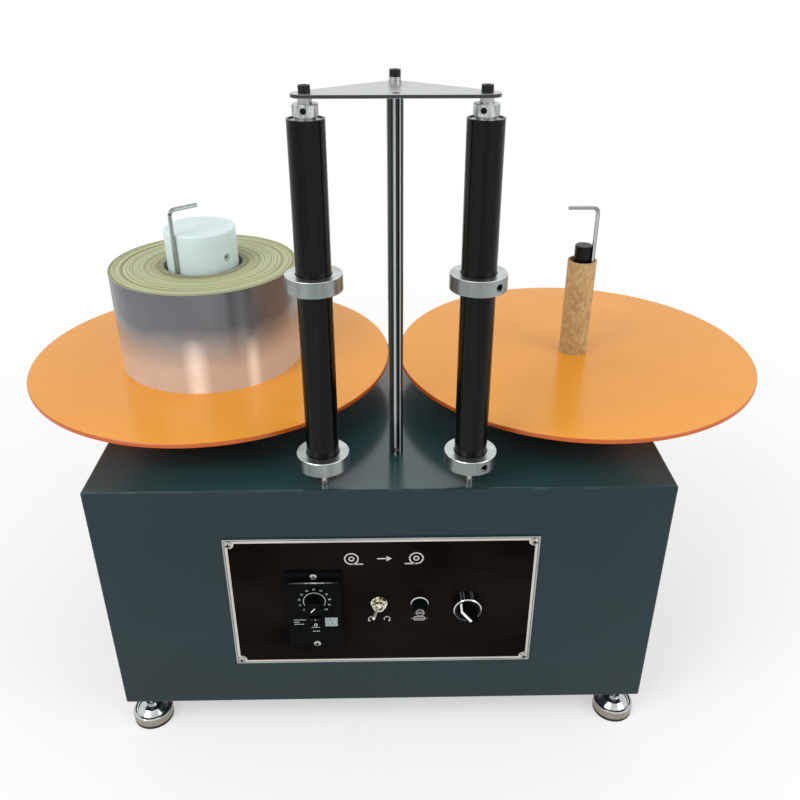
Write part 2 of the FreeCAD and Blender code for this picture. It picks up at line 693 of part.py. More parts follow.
def speed_controller():
    x = CABINET_X + CONTROLLER_X
    face = controller_face()
    flange = slab(x, CONTROLLER_Z, CONTROLLER_W, CONTROLLER_H, PANEL_Y - CONTROLLER_FLANGE, PANEL_Y)
    flange = fillet_along(flange, ALONG_Y, CONTROLLER_ROUND)
    raised = slab(x, CONTROLLER_Z + CONTROLLER_FACE_UP, CONTROLLER_W - 2 * CONTROLLER_ROUND,
                  CONTROLLER_FACE_H, face, PANEL_Y)
    raised = fillet_along(raised, ALONG_Y, CONTROLLER_ROUND)
    front_edges = [e for e in raised.Edges if abs(e.BoundBox.YMax - face) < SAME]
    raised = raised.makeFillet(CONTROLLER_ROUND / 2, front_edges)
    body = slab(x, CONTROLLER_Z, CONTROLLER_BODY_W, CONTROLLER_BODY_H, PANEL_Y, PANEL_Y + CONTROLLER_BODY_D)
    kx, kz = knob_place()
    rx, rz = rocker_place()
    tools = [bar_y(PAN[0] + HOLE, PANEL_Y - CONTROLLER_FLANGE, PANEL_Y, sx, sz)
             for sx, sz in controller_screw_places()]
    tools.append(bar_y(KNOB_SHAFT_R + RUN, face, face + KNOB_SHAFT_L + GAP, kx, kz))
    pocket = face + ROCKER_DEPTH + ROCKER_SINK
    tools.append(slab(rx, rz, ROCKER_W + 2 * GAP, ROCKER_H + 2 * ROCKER_SWING, face, pocket))
    pin_reach = ROCKER_W / 2 + ROCKER_PIN_L + GAP
    pin_start = V(rx - pin_reach, face + ROCKER_DEPTH / 2, rz)
    tools.append(Part.makeCylinder(ROCKER_PIN_R + RUN, 2 * pin_reach, pin_start, ALONG_X))
    return [cut_all(flange.fuse([raised, body]), tools)]


def speed_knob():
    x, z = knob_place()
    base = controller_face() - GAP
    skirt = base - KNOB_SKIRT_H
    tip = base - KNOB_H
    edge = KNOB_FLUTE_R
    knob = turned_y([(0, base), (KNOB_R, base), (KNOB_R, skirt), (KNOB_R - edge, skirt),
                     (KNOB_TIP_R, tip + edge), (KNOB_TIP_R - edge, tip), (0, tip)], x, z)
    flutes = []
    for k in range(KNOB_FLUTES):
        dx, dz = polar(KNOB_TIP_R + KNOB_FLUTE_R / 2, 360 * k / KNOB_FLUTES)
        flutes.append(bar_y(KNOB_FLUTE_R, tip, skirt, x + dx, z + dz))
    mark = slab(x + (KNOB_MARK_REACH - KNOB_MARK_BACK) / 2, z, KNOB_MARK_REACH + KNOB_MARK_BACK,
                KNOB_MARK_W, tip, tip + KNOB_MARK_DEPTH)
    knob = cut_all(knob, flutes + [rotated_y(mark, x, z, -KNOB_MARK_ANGLE)])
    return [knob.fuse(bar_y(KNOB_SHAFT_R, base, controller_face() + KNOB_SHAFT_L, x, z))]


def rocker():
    """Rocker button; its two faces meet over the pivot, and the upper one is proud at rest."""
    x, z = rocker_place()
    face = controller_face()
    pivot_y = face + ROCKER_DEPTH / 2
    half = ROCKER_H / 2
    profile = [(face - ROCKER_PROUD, -half), (face, 0), (face - ROCKER_PROUD, half),
               (face + ROCKER_DEPTH / 2, half), (face + ROCKER_DEPTH, half / 2),
               (face + ROCKER_DEPTH, -half / 2), (face + ROCKER_DEPTH / 2, -half)]
    points = [V(x - ROCKER_W / 2, y, z + dz) for y, dz in profile]
    button = Part.Face(Part.makePolygon(points + points[:1])).extrude(ALONG_X * ROCKER_W)
    reach = ROCKER_W / 2 + ROCKER_PIN_L
    button = button.fuse(Part.makeCylinder(ROCKER_PIN_R, 2 * reach, V(x - reach, pivot_y, z), ALONG_X))
    button.rotate(V(x, pivot_y, z), ALONG_X, ROCKER_TILT)
    return [button]


def toggle_switch():
    x = CABINET_X + TOGGLE_X
    width, depth, height = TOGGLE_BODY
    body = slab(x, CONTROL_Z, width, height, FRONT_Y, FRONT_Y + depth)
    bushing = bar_y(BUSHING_R, PANEL_Y - BUSHING_PROUD, FRONT_Y, x, CONTROL_Z)
    bore = bar_y(BUSHING_BORE_R, PANEL_Y - BUSHING_PROUD, FRONT_Y, x, CONTROL_Z)
    return [body.fuse(bushing).cut(bore)]


def panel_nuts():
    """Washer and nut on the toggle's bushing, and the nut behind the fuse holder."""
    x = CABINET_X + TOGGLE_X
    washer_y = PANEL_Y - TOGGLE_WASHER_T
    nut_y = washer_y - TOGGLE_NUT_T
    bore = BUSHING_R + FIT
    washer = ring_y(TOGGLE_WASHER_R, bore, washer_y, PANEL_Y, x, CONTROL_Z)
    nut = hex_bar_y(TOGGLE_NUT_AF, nut_y, washer_y, x, CONTROL_Z)
    nut = nut.cut(bar_y(bore, nut_y, washer_y, x, CONTROL_Z))
    fuse_x = CABINET_X + FUSE_X
    back = FRONT_Y + FUSE_NUT_T
    fuse_nut = hex_bar_y(FUSE_NUT_AF, FRONT_Y, back, fuse_x, CONTROL_Z)
    fuse_nut = fuse_nut.cut(bar_y(FUSE_BODY_R + FIT, FRONT_Y, back, fuse_x, CONTROL_Z))
    return [washer, nut, fuse_nut]


def toggle_lever():
    """Lever with a ball at its pivot, thrown to the left."""
    x = CABINET_X + TOGGLE_X
    pivot = PANEL_Y - LEVER_PIVOT
    shoulder = pivot - LEVER_L + LEVER_TIP_R
    stem = turned_y([(0, pivot), (LEVER_ROOT_R, pivot), (LEVER_TIP_R, shoulder), (0, shoulder)], x, CONTROL_Z)
    ball = Part.makeSphere(BUSHING_BORE_R - GAP, V(x, pivot, CONTROL_Z))
    lever = stem.fuse([ball, Part.makeSphere(LEVER_TIP_R, V(x, shoulder, CONTROL_Z))])
    lever.rotate(V(x, pivot, CONTROL_Z), ALONG_Z, -LEVER_TILT)
    return [lever]


def fuse_front():
    return PANEL_Y - FUSE_FLANGE_T


def fuse_holder():
    x = CABINET_X + FUSE_X
    front = fuse_front()
    edge = FUSE_FLANGE_T / 3
    flange = turned_y([(0, PANEL_Y), (FUSE_FLANGE_R, PANEL_Y), (FUSE_FLANGE_R, front + edge),
                       (FUSE_FLANGE_R - edge, front), (0, front)], x, CONTROL_Z)
    body = bar_y(FUSE_BODY_R, PANEL_Y, PANEL_Y + FUSE_BODY_L, x, CONTROL_Z)
    pocket = bar_y(FUSE_POCKET_R, front, front + FUSE_POCKET_L, x, CONTROL_Z)
    reach = front + FUSE_PLUG_L - FUSE_IN_CAP + FUSE_L + GAP
    well = bar_y(FUSE_R + RUN, front, reach, x, CONTROL_Z)
    return [flange.fuse(body).cut(pocket.fuse(well))]


def fuse_link():
    """Glass tube fuse, held at its front end in the cap."""
    x = CABINET_X + FUSE_X
    start = fuse_front() + FUSE_PLUG_L - FUSE_IN_CAP
    return [bar_y(FUSE_R, start, start + FUSE_L, x, CONTROL_Z)]


def fuse_cap():
    x = CABINET_X + FUSE_X
    front = fuse_front() - GAP
    tip = front - FUSE_CAP_L
    edge = FUSE_SLOT_DEPTH
    outside = turned_y([(0, front), (FUSE_CAP_R, front), (FUSE_CAP_R, front - FUSE_CAP_L / 2),
                        (FUSE_CAP_TIP_R + edge, tip + edge), (FUSE_CAP_TIP_R, tip), (0, tip)], x, CONTROL_Z)
    plug_end = fuse_front() + FUSE_PLUG_L
    plug = bar_y(FUSE_POCKET_R - RUN, front, plug_end, x, CONTROL_Z)
    nest = bar_y(FUSE_R + RUN, plug_end - FUSE_IN_CAP, plug_end, x, CONTROL_Z)
    slot = slab(x, CONTROL_Z, 2 * FUSE_CAP_TIP_R, FUSE_SLOT_W, tip, tip + FUSE_SLOT_DEPTH)
    return [outside.fuse(plug).cut(nest).cut(slot)]


def selector_switch():
    """Bezel and barrel, and the contact block on the barrel's rear end."""
    x = CABINET_X + SELECTOR_X
    front = PANEL_Y - BEZEL_PROUD
    barrel_end = PANEL_Y + BARREL_L
    edge = BEZEL_LIP / 3
    bezel = turned_y([(0, PANEL_Y), (BEZEL_R, PANEL_Y), (BEZEL_R, front + edge), (BEZEL_R - edge, front),
                      (0, front)], x, CONTROL_Z)
    recess = bar_y(BEZEL_R - BEZEL_LIP, front, PANEL_Y - HANDLE_FLOOR, x, CONTROL_Z)
    barrel = bar_y(BARREL_R, PANEL_Y, barrel_end, x, CONTROL_Z)
    bore = bar_y(HANDLE_SHAFT_R + RUN, front, PANEL_Y + HANDLE_SHAFT_L, x, CONTROL_Z)
    contact = slab(x, CONTROL_Z, CONTACT_SIZE, CONTACT_SIZE, barrel_end, barrel_end + CONTACT_D)
    return [bezel.fuse(barrel).cut(recess.fuse(bore)), contact]


def selector_handle():
    x = CABINET_X + SELECTOR_X
    floor = PANEL_Y - HANDLE_FLOOR - GAP
    rim = PANEL_Y - BEZEL_PROUD
    tip = rim - HANDLE_PROUD
    radius = BEZEL_R - BEZEL_LIP - GAP
    rotor = bar_y(radius, rim, floor, x, CONTROL_Z)
    half_foot, half_top = HANDLE_RIDGE_FOOT_W / 2, HANDLE_RIDGE_W / 2
    profile = [(-half_foot, rim), (half_foot, rim), (half_top, tip), (-half_top, tip)]
    points = [V(x - radius, y, CONTROL_Z + dz) for dz, y in profile]
    ridge = Part.Face(Part.makePolygon(points + points[:1])).extrude(ALONG_X * 2 * radius)
    ridge = ridge.common(bar_y(radius, tip, rim, x, CONTROL_Z))
    tip_edges = [e for e in ridge.Edges if abs(e.BoundBox.YMax - tip) < SAME]
    ridge = ridge.makeFillet(HANDLE_EDGE_R, tip_edges)
    shaft = bar_y(HANDLE_SHAFT_R, floor, PANEL_Y + HANDLE_SHAFT_L - GAP, x, CONTROL_Z)
    return [rotated_y(rotor.fuse([ridge, shaft]), x, CONTROL_Z, -HANDLE_ANGLE)]


# ---- Turntables
def bearing_housings():
    housings = []
    for side in SIDES:
        x = table_x(side)
        low, high = TOP_Z - HOUSING_DOWN, TOP_Z + HOUSING_UP
        housing = turned([(HOUSING_WAIST_R, low + BEARING_T), (BEARING_R, low + BEARING_T), (BEARING_R, low),
                          (HOUSING_R, low), (HOUSING_R, TOP_Z), (HOUSING_FLANGE_R, TOP_Z),
                          (HOUSING_FLANGE_R, TOP_Z + HOUSING_FLANGE_T), (HOUSING_R, TOP_Z + HOUSING_FLANGE_T),
                          (HOUSING_R, high), (BEARING_R, high), (BEARING_R, high - BEARING_T),
                          (HOUSING_WAIST_R, high - BEARING_T)], x, TABLE_Y)
        places = on_circle(HOUSING_SCREW_PCD, HOUSING_SCREW_COUNT, x, TABLE_Y)
        holes = [bar(M6_CAP[0] + HOLE, TOP_Z, TOP_Z + HOUSING_FLANGE_T, hx, hy) for hx, hy in places]
        housings.append(cut_all(housing, holes))
    return housings


def spindle_bearings():
    bearings = []
    for side in SIDES:
        for low in (TOP_Z - HOUSING_DOWN, TOP_Z + HOUSING_UP - BEARING_T):
            bearings.append(ring(BEARING_R - FIT, SPINDLE_R + RUN, low, low + BEARING_T,
                                 table_x(side), TABLE_Y))
    return bearings


def m6_screws():
    """Screws of the bearing housings and of the gearbox."""
    flange, bracket = TOP_Z + HOUSING_FLANGE_T, TOP_Z - BRACKET_DROP
    screws = [cap_screw(M6_CAP, HOUSING_SCREW_L, x, y, flange) for x, y in housing_screw_places()]
    screws += [cap_screw(M6_CAP, MOTOR_SCREW_L, x, y, bracket) for x, y in gearbox_screw_places()]
    return screws


def spindle(side):
    """Turned spindle with its boss and the flange under the disc, all one piece."""
    x = table_x(side)
    collar_low = TOP_Z - HOUSING_DOWN - GAP - SHAFT_COLLAR_H
    foot = {"left": collar_low, "right": PULLEY_Z}[side] - SPINDLE_TAIL
    boss = TOP_Z + HOUSING_UP + GAP
    top = DISC_TOP + SPINDLE_TOP
    body = turned([(0, foot), (SPINDLE_R - SPINDLE_END, foot), (SPINDLE_R, foot + SPINDLE_END),
                   (SPINDLE_R, boss), (SPINDLE_BOSS_R, boss), (SPINDLE_BOSS_R, DISC_Z - DISC_FLANGE_T),
                   (DISC_FLANGE_R, DISC_Z - DISC_FLANGE_T), (DISC_FLANGE_R, DISC_Z), (SPINDLE_R, DISC_Z),
                   (SPINDLE_R, top - SPINDLE_END), (SPINDLE_R - SPINDLE_END, top), (0, top)], x, TABLE_Y)
    holes = [bar(M5_CAP[0] + HOLE, DISC_Z - DISC_FLANGE_T, DISC_Z, hx, hy)
             for hx, hy in on_circle(DISC_SCREW_PCD, DISC_SCREW_COUNT, x, TABLE_Y)]
    holes.append(bar(CENTRE_HOLE_R, top - CENTRE_HOLE_DEPTH, top, x, TABLE_Y))
    return [cut_all(body, holes)]


def turntable(side):
    x = table_x(side)
    disc = edged_ring(TABLE_R, SPINDLE_R + FIT, DISC_Z, DISC_TOP, x, TABLE_Y, TABLE_EDGE)
    holes = [bar(M5_CAP[0] + FIT, DISC_Z, DISC_Z + DISC_SCREW_GRIP, hx, hy)
             for hx, hy in on_circle(DISC_SCREW_PCD, DISC_SCREW_COUNT, x, TABLE_Y)]
    return [cut_all(disc, holes)]


def disc_screws(side):
    length = DISC_FLANGE_T + DISC_SCREW_GRIP
    return [cap_screw(M5_CAP, length, x, y, DISC_Z - DISC_FLANGE_T, up=False)
            for x, y in on_circle(DISC_SCREW_PCD, DISC_SCREW_COUNT, table_x(side), TABLE_Y)]


def left_shaft_collar():
    top = TOP_Z - HOUSING_DOWN - GAP
    return [ring(SHAFT_COLLAR_R, SPINDLE_R + FIT, top - SHAFT_COLLAR_H, top, table_x("left"), TABLE_Y)]


def core_adapter():
    """Plastic drum pushed over the left spindle."""
    x = table_x("left")
    top = DISC_TOP + ADAPTER_H
    drum = turned([(0, DISC_TOP), (ADAPTER_R, DISC_TOP), (ADAPTER_R, top - ADAPTER_EDGE),
                   (ADAPTER_R - ADAPTER_EDGE, top), (0, top)], x, TABLE_Y)
    bore = bar(SPINDLE_R + FIT, DISC_TOP, DISC_TOP + SPINDLE_TOP + ADAPTER_ROOF, x, TABLE_Y)
    mark = bar(CENTRE_HOLE_R, top - CENTRE_HOLE_R, top, x, TABLE_Y)
    hole = radial(SET_SCREW_R, SPINDLE_R, ADAPTER_R, x, TABLE_Y, DISC_TOP + GRUB_LEVEL, GRUB_ANGLE)
    return [drum.cut(Part.makeCompound([bore, mark, hole]))]


def adapter_screw():
    tip = SPINDLE_R + FIT
    x = table_x("left")
    return [set_screw(tip, ADAPTER_R - tip - SET_SCREW_SINK, x, TABLE_Y, DISC_TOP + GRUB_LEVEL, GRUB_ANGLE)]


def label_web():
    return [edged_ring(ROLL_R, ROLL_CORE_R + FIT, DISC_TOP, DISC_TOP + ROLL_H, table_x("left"), TABLE_Y,
                       COLLAR_EDGE)]


def label_core():
    return [ring(ROLL_CORE_R, ROLL_CORE_R - ROLL_CORE_WALL, DISC_TOP, DISC_TOP + ROLL_H,
                 table_x("left"), TABLE_Y)]


def right_core():
    return [ring(SMALL_CORE_R, SMALL_CORE_R - SMALL_CORE_WALL, DISC_TOP, DISC_TOP + SMALL_CORE_H,
                 table_x("right"), TABLE_Y)]


def hex_key(x, y, place):
    """Bent hexagon key that stands on the disc; its flats face the spindle."""
    bend_z = DISC_TOP + place["height"] - KEY_AF / 2 - KEY_BEND_R
    dx, dy = polar(1, place["arm"])
    phase = place["angle"] + HEX_CORNER
    leg = hex_bar(KEY_AF, DISC_TOP, bend_z, x, y, phase)
    points = [V(x + px, y + py, bend_z) for px, py in hex_points(KEY_AF, phase)]
    section = Part.Face(Part.makePolygon(points + points[:1]))
    pivot = V(x + KEY_BEND_R * dx, y + KEY_BEND_R * dy, bend_z)
    turn_axis = V(-dy, dx, 0)
    bend = section.copy().revolve(pivot, turn_axis, 90)
    section.rotate(pivot, turn_axis, 90)
    arm = section.extrude(V(dx, dy, 0) * (KEY_ARM - KEY_BEND_R - KEY_AF / 2))
    return [leg.fuse([bend, arm]).removeSplitter()]


def left_hex_key():
    gap_middle = (ADAPTER_R + ROLL_CORE_R - ROLL_CORE_WALL) / 2
    dx, dy = polar(gap_middle, LEFT_KEY["angle"])
    return hex_key(table_x("left") + dx, TABLE_Y + dy, LEFT_KEY)


def right_hex_key():
    gap_middle = (SPINDLE_R + SMALL_CORE_R - SMALL_CORE_WALL) / 2
    dx, dy = polar(gap_middle, RIGHT_KEY["angle"])
    return hex_key(table_x("right") + dx, TABLE_Y + dy, RIGHT_KEY)


# ---- Drive
def pulley(radius, bore, hub_low, hub_high, x):
    """Flanged belt pulley; its hub runs from hub_low to hub_high."""
    high = PULLEY_Z + PULLEY_H
    lip = radius + PULLEY_LIP_RISE
    rim = turned([(bore, PULLEY_Z), (lip, PULLEY_Z), (lip, PULLEY_Z + PULLEY_LIP),
                  (radius, PULLEY_Z + PULLEY_LIP), (radius, high - PULLEY_LIP), (lip, high - PULLEY_LIP),
                  (lip, high), (bore, high)], x, TABLE_Y)
    return rim.fuse(ring(PULLEY_HUB_R, bore, hub_low, hub_high, x, TABLE_Y))


def driven_pulley():
    return [pulley(DRIVEN_R, SPINDLE_R + FIT, PULLEY_Z, TOP_Z - HOUSING_DOWN - GAP, table_x("right"))]


def motor_pulley():
    return [pulley(DRIVE_R, MOTOR_SHAFT_R + FIT, PULLEY_Z - PULLEY_LIP_RISE, PULLEY_Z + PULLEY_H, MOTOR_X)]


def motor_shaft():
    low = BRACKET_Z - MOTOR_SHAFT_SUNK
    return [bar(MOTOR_SHAFT_R, low, PULLEY_Z + PULLEY_H + MOTOR_SHAFT_END, MOTOR_X, TABLE_Y)]


def belt_outline(grow):
    """Solid of the belt's loop out to a distance from the pulleys' running faces."""
    low = PULLEY_Z + (PULLEY_H - BELT_W) / 2
    r1, r2 = DRIVE_R + grow, DRIVEN_R + grow
    x1, x2 = MOTOR_X, table_x("right")
    nx = (r1 - r2) / (x2 - x1)
    ny = math.sqrt(1 - nx * nx)
    corners = [(x1 + r1 * nx, r1 * ny), (x2 + r2 * nx, r2 * ny),
               (x2 + r2 * nx, -r2 * ny), (x1 + r1 * nx, -r1 * ny)]
    points = [V(x, TABLE_Y + dy, low) for x, dy in corners]
    web = Part.Face(Part.makePolygon(points + points[:1])).extrude(ALONG_Z * BELT_W)
    return web.fuse([bar(r1, low, low + BELT_W, x1, TABLE_Y), bar(r2, low, low + BELT_W, x2, TABLE_Y)])


def drive_belt():
    return [belt_outline(GAP + BELT_T).cut(belt_outline(GAP))]


def motor_bracket():
    """Plate that hangs from the cabinet's top on four welded pillars."""
    top = TOP_Z - BRACKET_DROP
    half = BRACKET_SIZE / 2
    plate = block(MOTOR_X - half, MOTOR_X + half, TABLE_Y - half, TABLE_Y + half, BRACKET_Z, top)
    plate = fillet_along(plate, ALONG_Z, PILLAR_R)
    tools = [bar(GEARBOX_BOSS_R + HOLE, BRACKET_Z, top, MOTOR_X, TABLE_Y)]
    tools += [bar(M6_CAP[0] + HOLE, BRACKET_Z, top, x, y) for x, y in gearbox_screw_places()]
    span = BRACKET_SIZE - 2 * PILLAR_IN
    pillars = [bar(PILLAR_R, top, ROOF_Z, x, y) for x, y in square(span, span, MOTOR_X, TABLE_Y)]
    return [cut_all(plate, tools).fuse(pillars)]


def gearbox():
    half = GEARBOX_W / 2
    body = block(MOTOR_X - half, MOTOR_X + half, TABLE_Y - half, TABLE_Y + half, GEARBOX_Z, BRACKET_Z)
    body = fillet_along(body, ALONG_Z, PILLAR_R)
    boss = bar(GEARBOX_BOSS_R, BRACKET_Z, BRACKET_Z + GEARBOX_BOSS_H, MOTOR_X, TABLE_Y)
    sunk = BRACKET_Z - MOTOR_SHAFT_SUNK - GAP
    tools = [bar(MOTOR_SHAFT_R + RUN, sunk, BRACKET_Z + GEARBOX_BOSS_H, MOTOR_X, TABLE_Y)]
    thread = MOTOR_SCREW_L - BRACKET_T + GAP
    tools += [bar(M6_CAP[0] + FIT, BRACKET_Z - thread, BRACKET_Z, x, y) for x, y in gearbox_screw_places()]
    return [cut_all(body.fuse(boss), tools)]


def motor():
    """Round motor body with cooling ribs along it."""
    body = bar(MOTOR_R, MOTOR_Z, GEARBOX_Z, MOTOR_X, TABLE_Y)
    low, high = MOTOR_Z + MOTOR_BAND, GEARBOX_Z - MOTOR_BAND
    grooves = []
    for k in range(MOTOR_RIB_COUNT):
        dx, dy = polar(MOTOR_R, 360 * k / MOTOR_RIB_COUNT)
        grooves.append(bar(MOTOR_RIB, low, high, MOTOR_X + dx, TABLE_Y + dy))
    return [cut_all(body, grooves)]


# ---- Guide rollers, post and top plate
def roller_shafts():
    shafts = []
    seat = TOP_Z + TUBE_BOTTOM + ROLLER_BEARING_IN - SEAT_T
    foot = ROOF_Z - STUB_BELOW
    shoulder = TOP_Z + ROLLER_SHOULDER
    for side in SIDES:
        shaft = turned([(0, foot), (STUB_R, foot), (STUB_R, shoulder), (ROLLER_SHAFT_R, shoulder),
                        (ROLLER_SHAFT_R, seat), (SEAT_R, seat), (SEAT_R, seat + SEAT_T),
                        (ROLLER_SHAFT_R, seat + SEAT_T), (ROLLER_SHAFT_R, PLATE_Z), (0, PLATE_Z)],
                       roller_x(side), ROLLER_Y)
        thread = bar(M6_CAP[0] + FIT, PLATE_Z - PLATE_SCREW_L, PLATE_Z, roller_x(side), ROLLER_Y)
        shafts.append(shaft.cut(thread))
    return shafts


def roller_bearings():
    bearings = []
    outer = TUBE_R - TUBE_WALL - RUN
    lows = (TOP_Z + TUBE_BOTTOM + ROLLER_BEARING_IN, TOP_Z + TUBE_TOP - ROLLER_BEARING_IN - ROLLER_BEARING_T)
    for side in SIDES:
        for low in lows:
            bearings.append(ring(outer, ROLLER_SHAFT_R + FIT, low, low + ROLLER_BEARING_T,
                                 roller_x(side), ROLLER_Y))
    return bearings


def roller_tube(side):
    return [ring(TUBE_R, TUBE_R - TUBE_WALL, TOP_Z + TUBE_BOTTOM, TOP_Z + TUBE_TOP, roller_x(side), ROLLER_Y)]


def collar(side, low, clearance, degrees, height=COLLAR_H):
    """Collar on a roller tube, with its set screw."""
    x = roller_x(side)
    bore = TUBE_R + clearance
    middle = low + height / 2
    body = edged_ring(COLLAR_R, bore, low, low + height, x, ROLLER_Y, COLLAR_EDGE)
    body = body.cut(radial(SET_SCREW_R, TUBE_R, COLLAR_R, x, ROLLER_Y, middle, degrees))
    return [body, set_screw(bore + RUN, SET_SCREW_L, x, ROLLER_Y, middle, degrees)]


def base_collar(side):
    return collar(side, TOP_Z + TUBE_BOTTOM, FIT, BASE_COLLAR_ANGLE[side])


def width_collar(side):
    return collar(side, TOP_Z + WIDTH_COLLAR_LEVEL, RUN, WIDTH_COLLAR_ANGLE[side])


def top_shaft_collars():
    """Small collars that hold the rollers down, with their set screws."""
    pieces = []
    low = TOP_Z + TOP_COLLAR_LEVEL
    high = low + TOP_COLLAR_H
    neck = TOP_Z + TUBE_TOP - ROLLER_BEARING_IN
    bore = ROLLER_SHAFT_R + FIT
    middle = low + TOP_COLLAR_H / 2
    for side in SIDES:
        x = roller_x(side)
        body = turned([(bore, neck), (TOP_COLLAR_NECK_R, neck), (TOP_COLLAR_NECK_R, low), (TOP_COLLAR_R, low),
                       (TOP_COLLAR_R, high - COLLAR_EDGE), (TOP_COLLAR_R - COLLAR_EDGE, high), (bore, high)],
                      x, ROLLER_Y)
        body = body.cut(radial(SET_SCREW_R, bore, TOP_COLLAR_R, x, ROLLER_Y, middle, TOP_COLLAR_ANGLE[side]))
        screw_length = TOP_COLLAR_R - bore - SET_SCREW_SINK
        pieces += [body, set_screw(bore, screw_length, x, ROLLER_Y, middle, TOP_COLLAR_ANGLE[side])]
    return pieces


def back_post():
    """Post with a threaded stub and a cross hole for the bar that tightens it."""
    foot = ROOF_Z - STUB_BELOW
    post = turned([(0, foot), (STUB_R, foot), (STUB_R, TOP_Z), (POST_R, TOP_Z), (POST_R, PLATE_Z),
                   (0, PLATE_Z)], 0, POST_Y)
    cross = bar_y(POST_HOLE_R, POST_Y - POST_R, POST_Y + POST_R, 0, TOP_Z + POST_HOLE_LEVEL)
    thread = bar(M6_CAP[0] + FIT, PLATE_Z - PLATE_SCREW_L, PLATE_Z, 0, POST_Y)
    return [post.cut(cross.fuse(thread))]


def top_plate():
    """Triangle with a round corner about each of its screws."""
    corners = stub_places()
    top = PLATE_Z + PLATE_T
    points = [V(x, y, PLATE_Z) for x, y in corners]
    pieces = [bar(PLATE_CORNER_R, PLATE_Z, top, x, y) for x, y in corners]
    for k, (x0, y0) in enumerate(corners):
        x1, y1 = corners[(k + 1) % len(corners)]
        length = math.hypot(x1 - x0, y1 - y0)
        nx, ny = (y1 - y0) / length * PLATE_CORNER_R, (x0 - x1) / length * PLATE_CORNER_R
        edge = [V(x0, y0, PLATE_Z), V(x0 + nx, y0 + ny, PLATE_Z),
                V(x1 + nx, y1 + ny, PLATE_Z), V(x1, y1, PLATE_Z)]
        pieces.append(Part.Face(Part.makePolygon(edge + edge[:1])).extrude(ALONG_Z * PLATE_T))
    plate = Part.Face(Part.makePolygon(points + points[:1])).extrude(ALONG_Z * PLATE_T).fuse(pieces)
    tools = [bar(M6_CAP[0] + HOLE, PLATE_Z, top, x, y) for x, y in corners]
    tools.append(bar(PLATE_HOLE_R, PLATE_Z, top, 0, ROLLER_Y - PLATE_CORNER_R + PLATE_HOLE_IN))
    return [cut_all(plate.removeSplitter(), tools)]


def plate_screws():
    top = PLATE_Z + PLATE_T
    seats = [(x, y, top) for x, y in stub_places()[:2]] + [(0.0, POST_Y, top + POST_WASHER_T)]
    return [cap_screw(M6_CAP, PLATE_SCREW_L, x, y, seat) for x, y, seat in seats]


def post_washer():
    low = PLATE_Z + PLATE_T
    return [ring(POST_WASHER_R, M6_CAP[0] + FIT, low, low + POST_WASHER_T, 0, POST_Y)]


def all_nodes():
    plain = (cabinet_shell, base_plate, rear_cover, cover_screws, power_inlet, hex_nuts,
             control_panel, panel_screws, speed_controller, speed_knob, rocker, toggle_switch, panel_nuts,
             toggle_lever, fuse_holder, fuse_link, fuse_cap, selector_switch, selector_handle,
             bearing_housings, spindle_bearings, m6_screws, left_shaft_collar, core_adapter, adapter_screw,
             label_web, label_core, right_core, left_hex_key, right_hex_key, driven_pulley, motor_pulley,
             motor_shaft, drive_belt, motor_bracket, gearbox, motor, roller_shafts, roller_bearings,
             top_shaft_collars, back_post, top_plate, plate_screws, post_washer)
    nodes = {make.__name__: make() for make in plain}
    for side in SIDES:
        nodes[side + "_spindle"] = spindle(side)
        nodes[side + "_turntable"] = turntable(side)
        nodes[side + "_disc_screws"] = disc_screws(side)
        nodes[side + "_roller_tube"] = roller_tube(side)
        nodes[side + "_base_collar"] = base_collar(side)
        nodes[side + "_width_collar"] = width_collar(side)
    for place in foot_places():
        nodes["foot_" + place] = levelling_foot(place)
    return nodes


os.makedirs("parts", exist_ok=True)
for name, solids in all_nodes().items():
    shape = solids[0] if len(solids) == 1 else Part.makeCompound(solids)
    shape.exportStep("parts/" + name + ".step")
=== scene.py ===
import bmesh
import bpy
import math
import random
from mathutils import Matrix, Vector


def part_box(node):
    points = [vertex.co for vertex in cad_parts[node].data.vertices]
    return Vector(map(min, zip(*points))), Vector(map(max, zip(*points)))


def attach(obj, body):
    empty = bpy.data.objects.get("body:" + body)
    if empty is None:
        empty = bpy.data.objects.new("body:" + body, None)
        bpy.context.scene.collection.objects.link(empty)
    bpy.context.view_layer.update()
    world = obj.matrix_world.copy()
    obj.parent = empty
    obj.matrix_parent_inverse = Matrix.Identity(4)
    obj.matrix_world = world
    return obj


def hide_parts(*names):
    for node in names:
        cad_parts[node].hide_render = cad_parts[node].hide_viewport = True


# Looks of the bench label rewinder: finishes for its metal, plastic and paper pieces, and the small
# printed and pressed pieces that the frame leaves out. Metres, +Z up, front at -Y.

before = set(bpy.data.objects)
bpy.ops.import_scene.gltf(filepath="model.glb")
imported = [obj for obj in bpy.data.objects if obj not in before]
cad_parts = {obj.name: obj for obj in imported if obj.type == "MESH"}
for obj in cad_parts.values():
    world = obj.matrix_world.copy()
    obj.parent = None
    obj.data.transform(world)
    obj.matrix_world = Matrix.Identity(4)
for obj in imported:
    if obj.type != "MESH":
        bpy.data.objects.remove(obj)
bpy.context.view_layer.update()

MM = 0.001
FRONT, BACK = -1, 1

# ---- Cabinet paint
RUBBED_EDGE_W = 2.2 * MM
TOP_SKIN = 0.2 * MM                       # what counts as the cabinet's top face

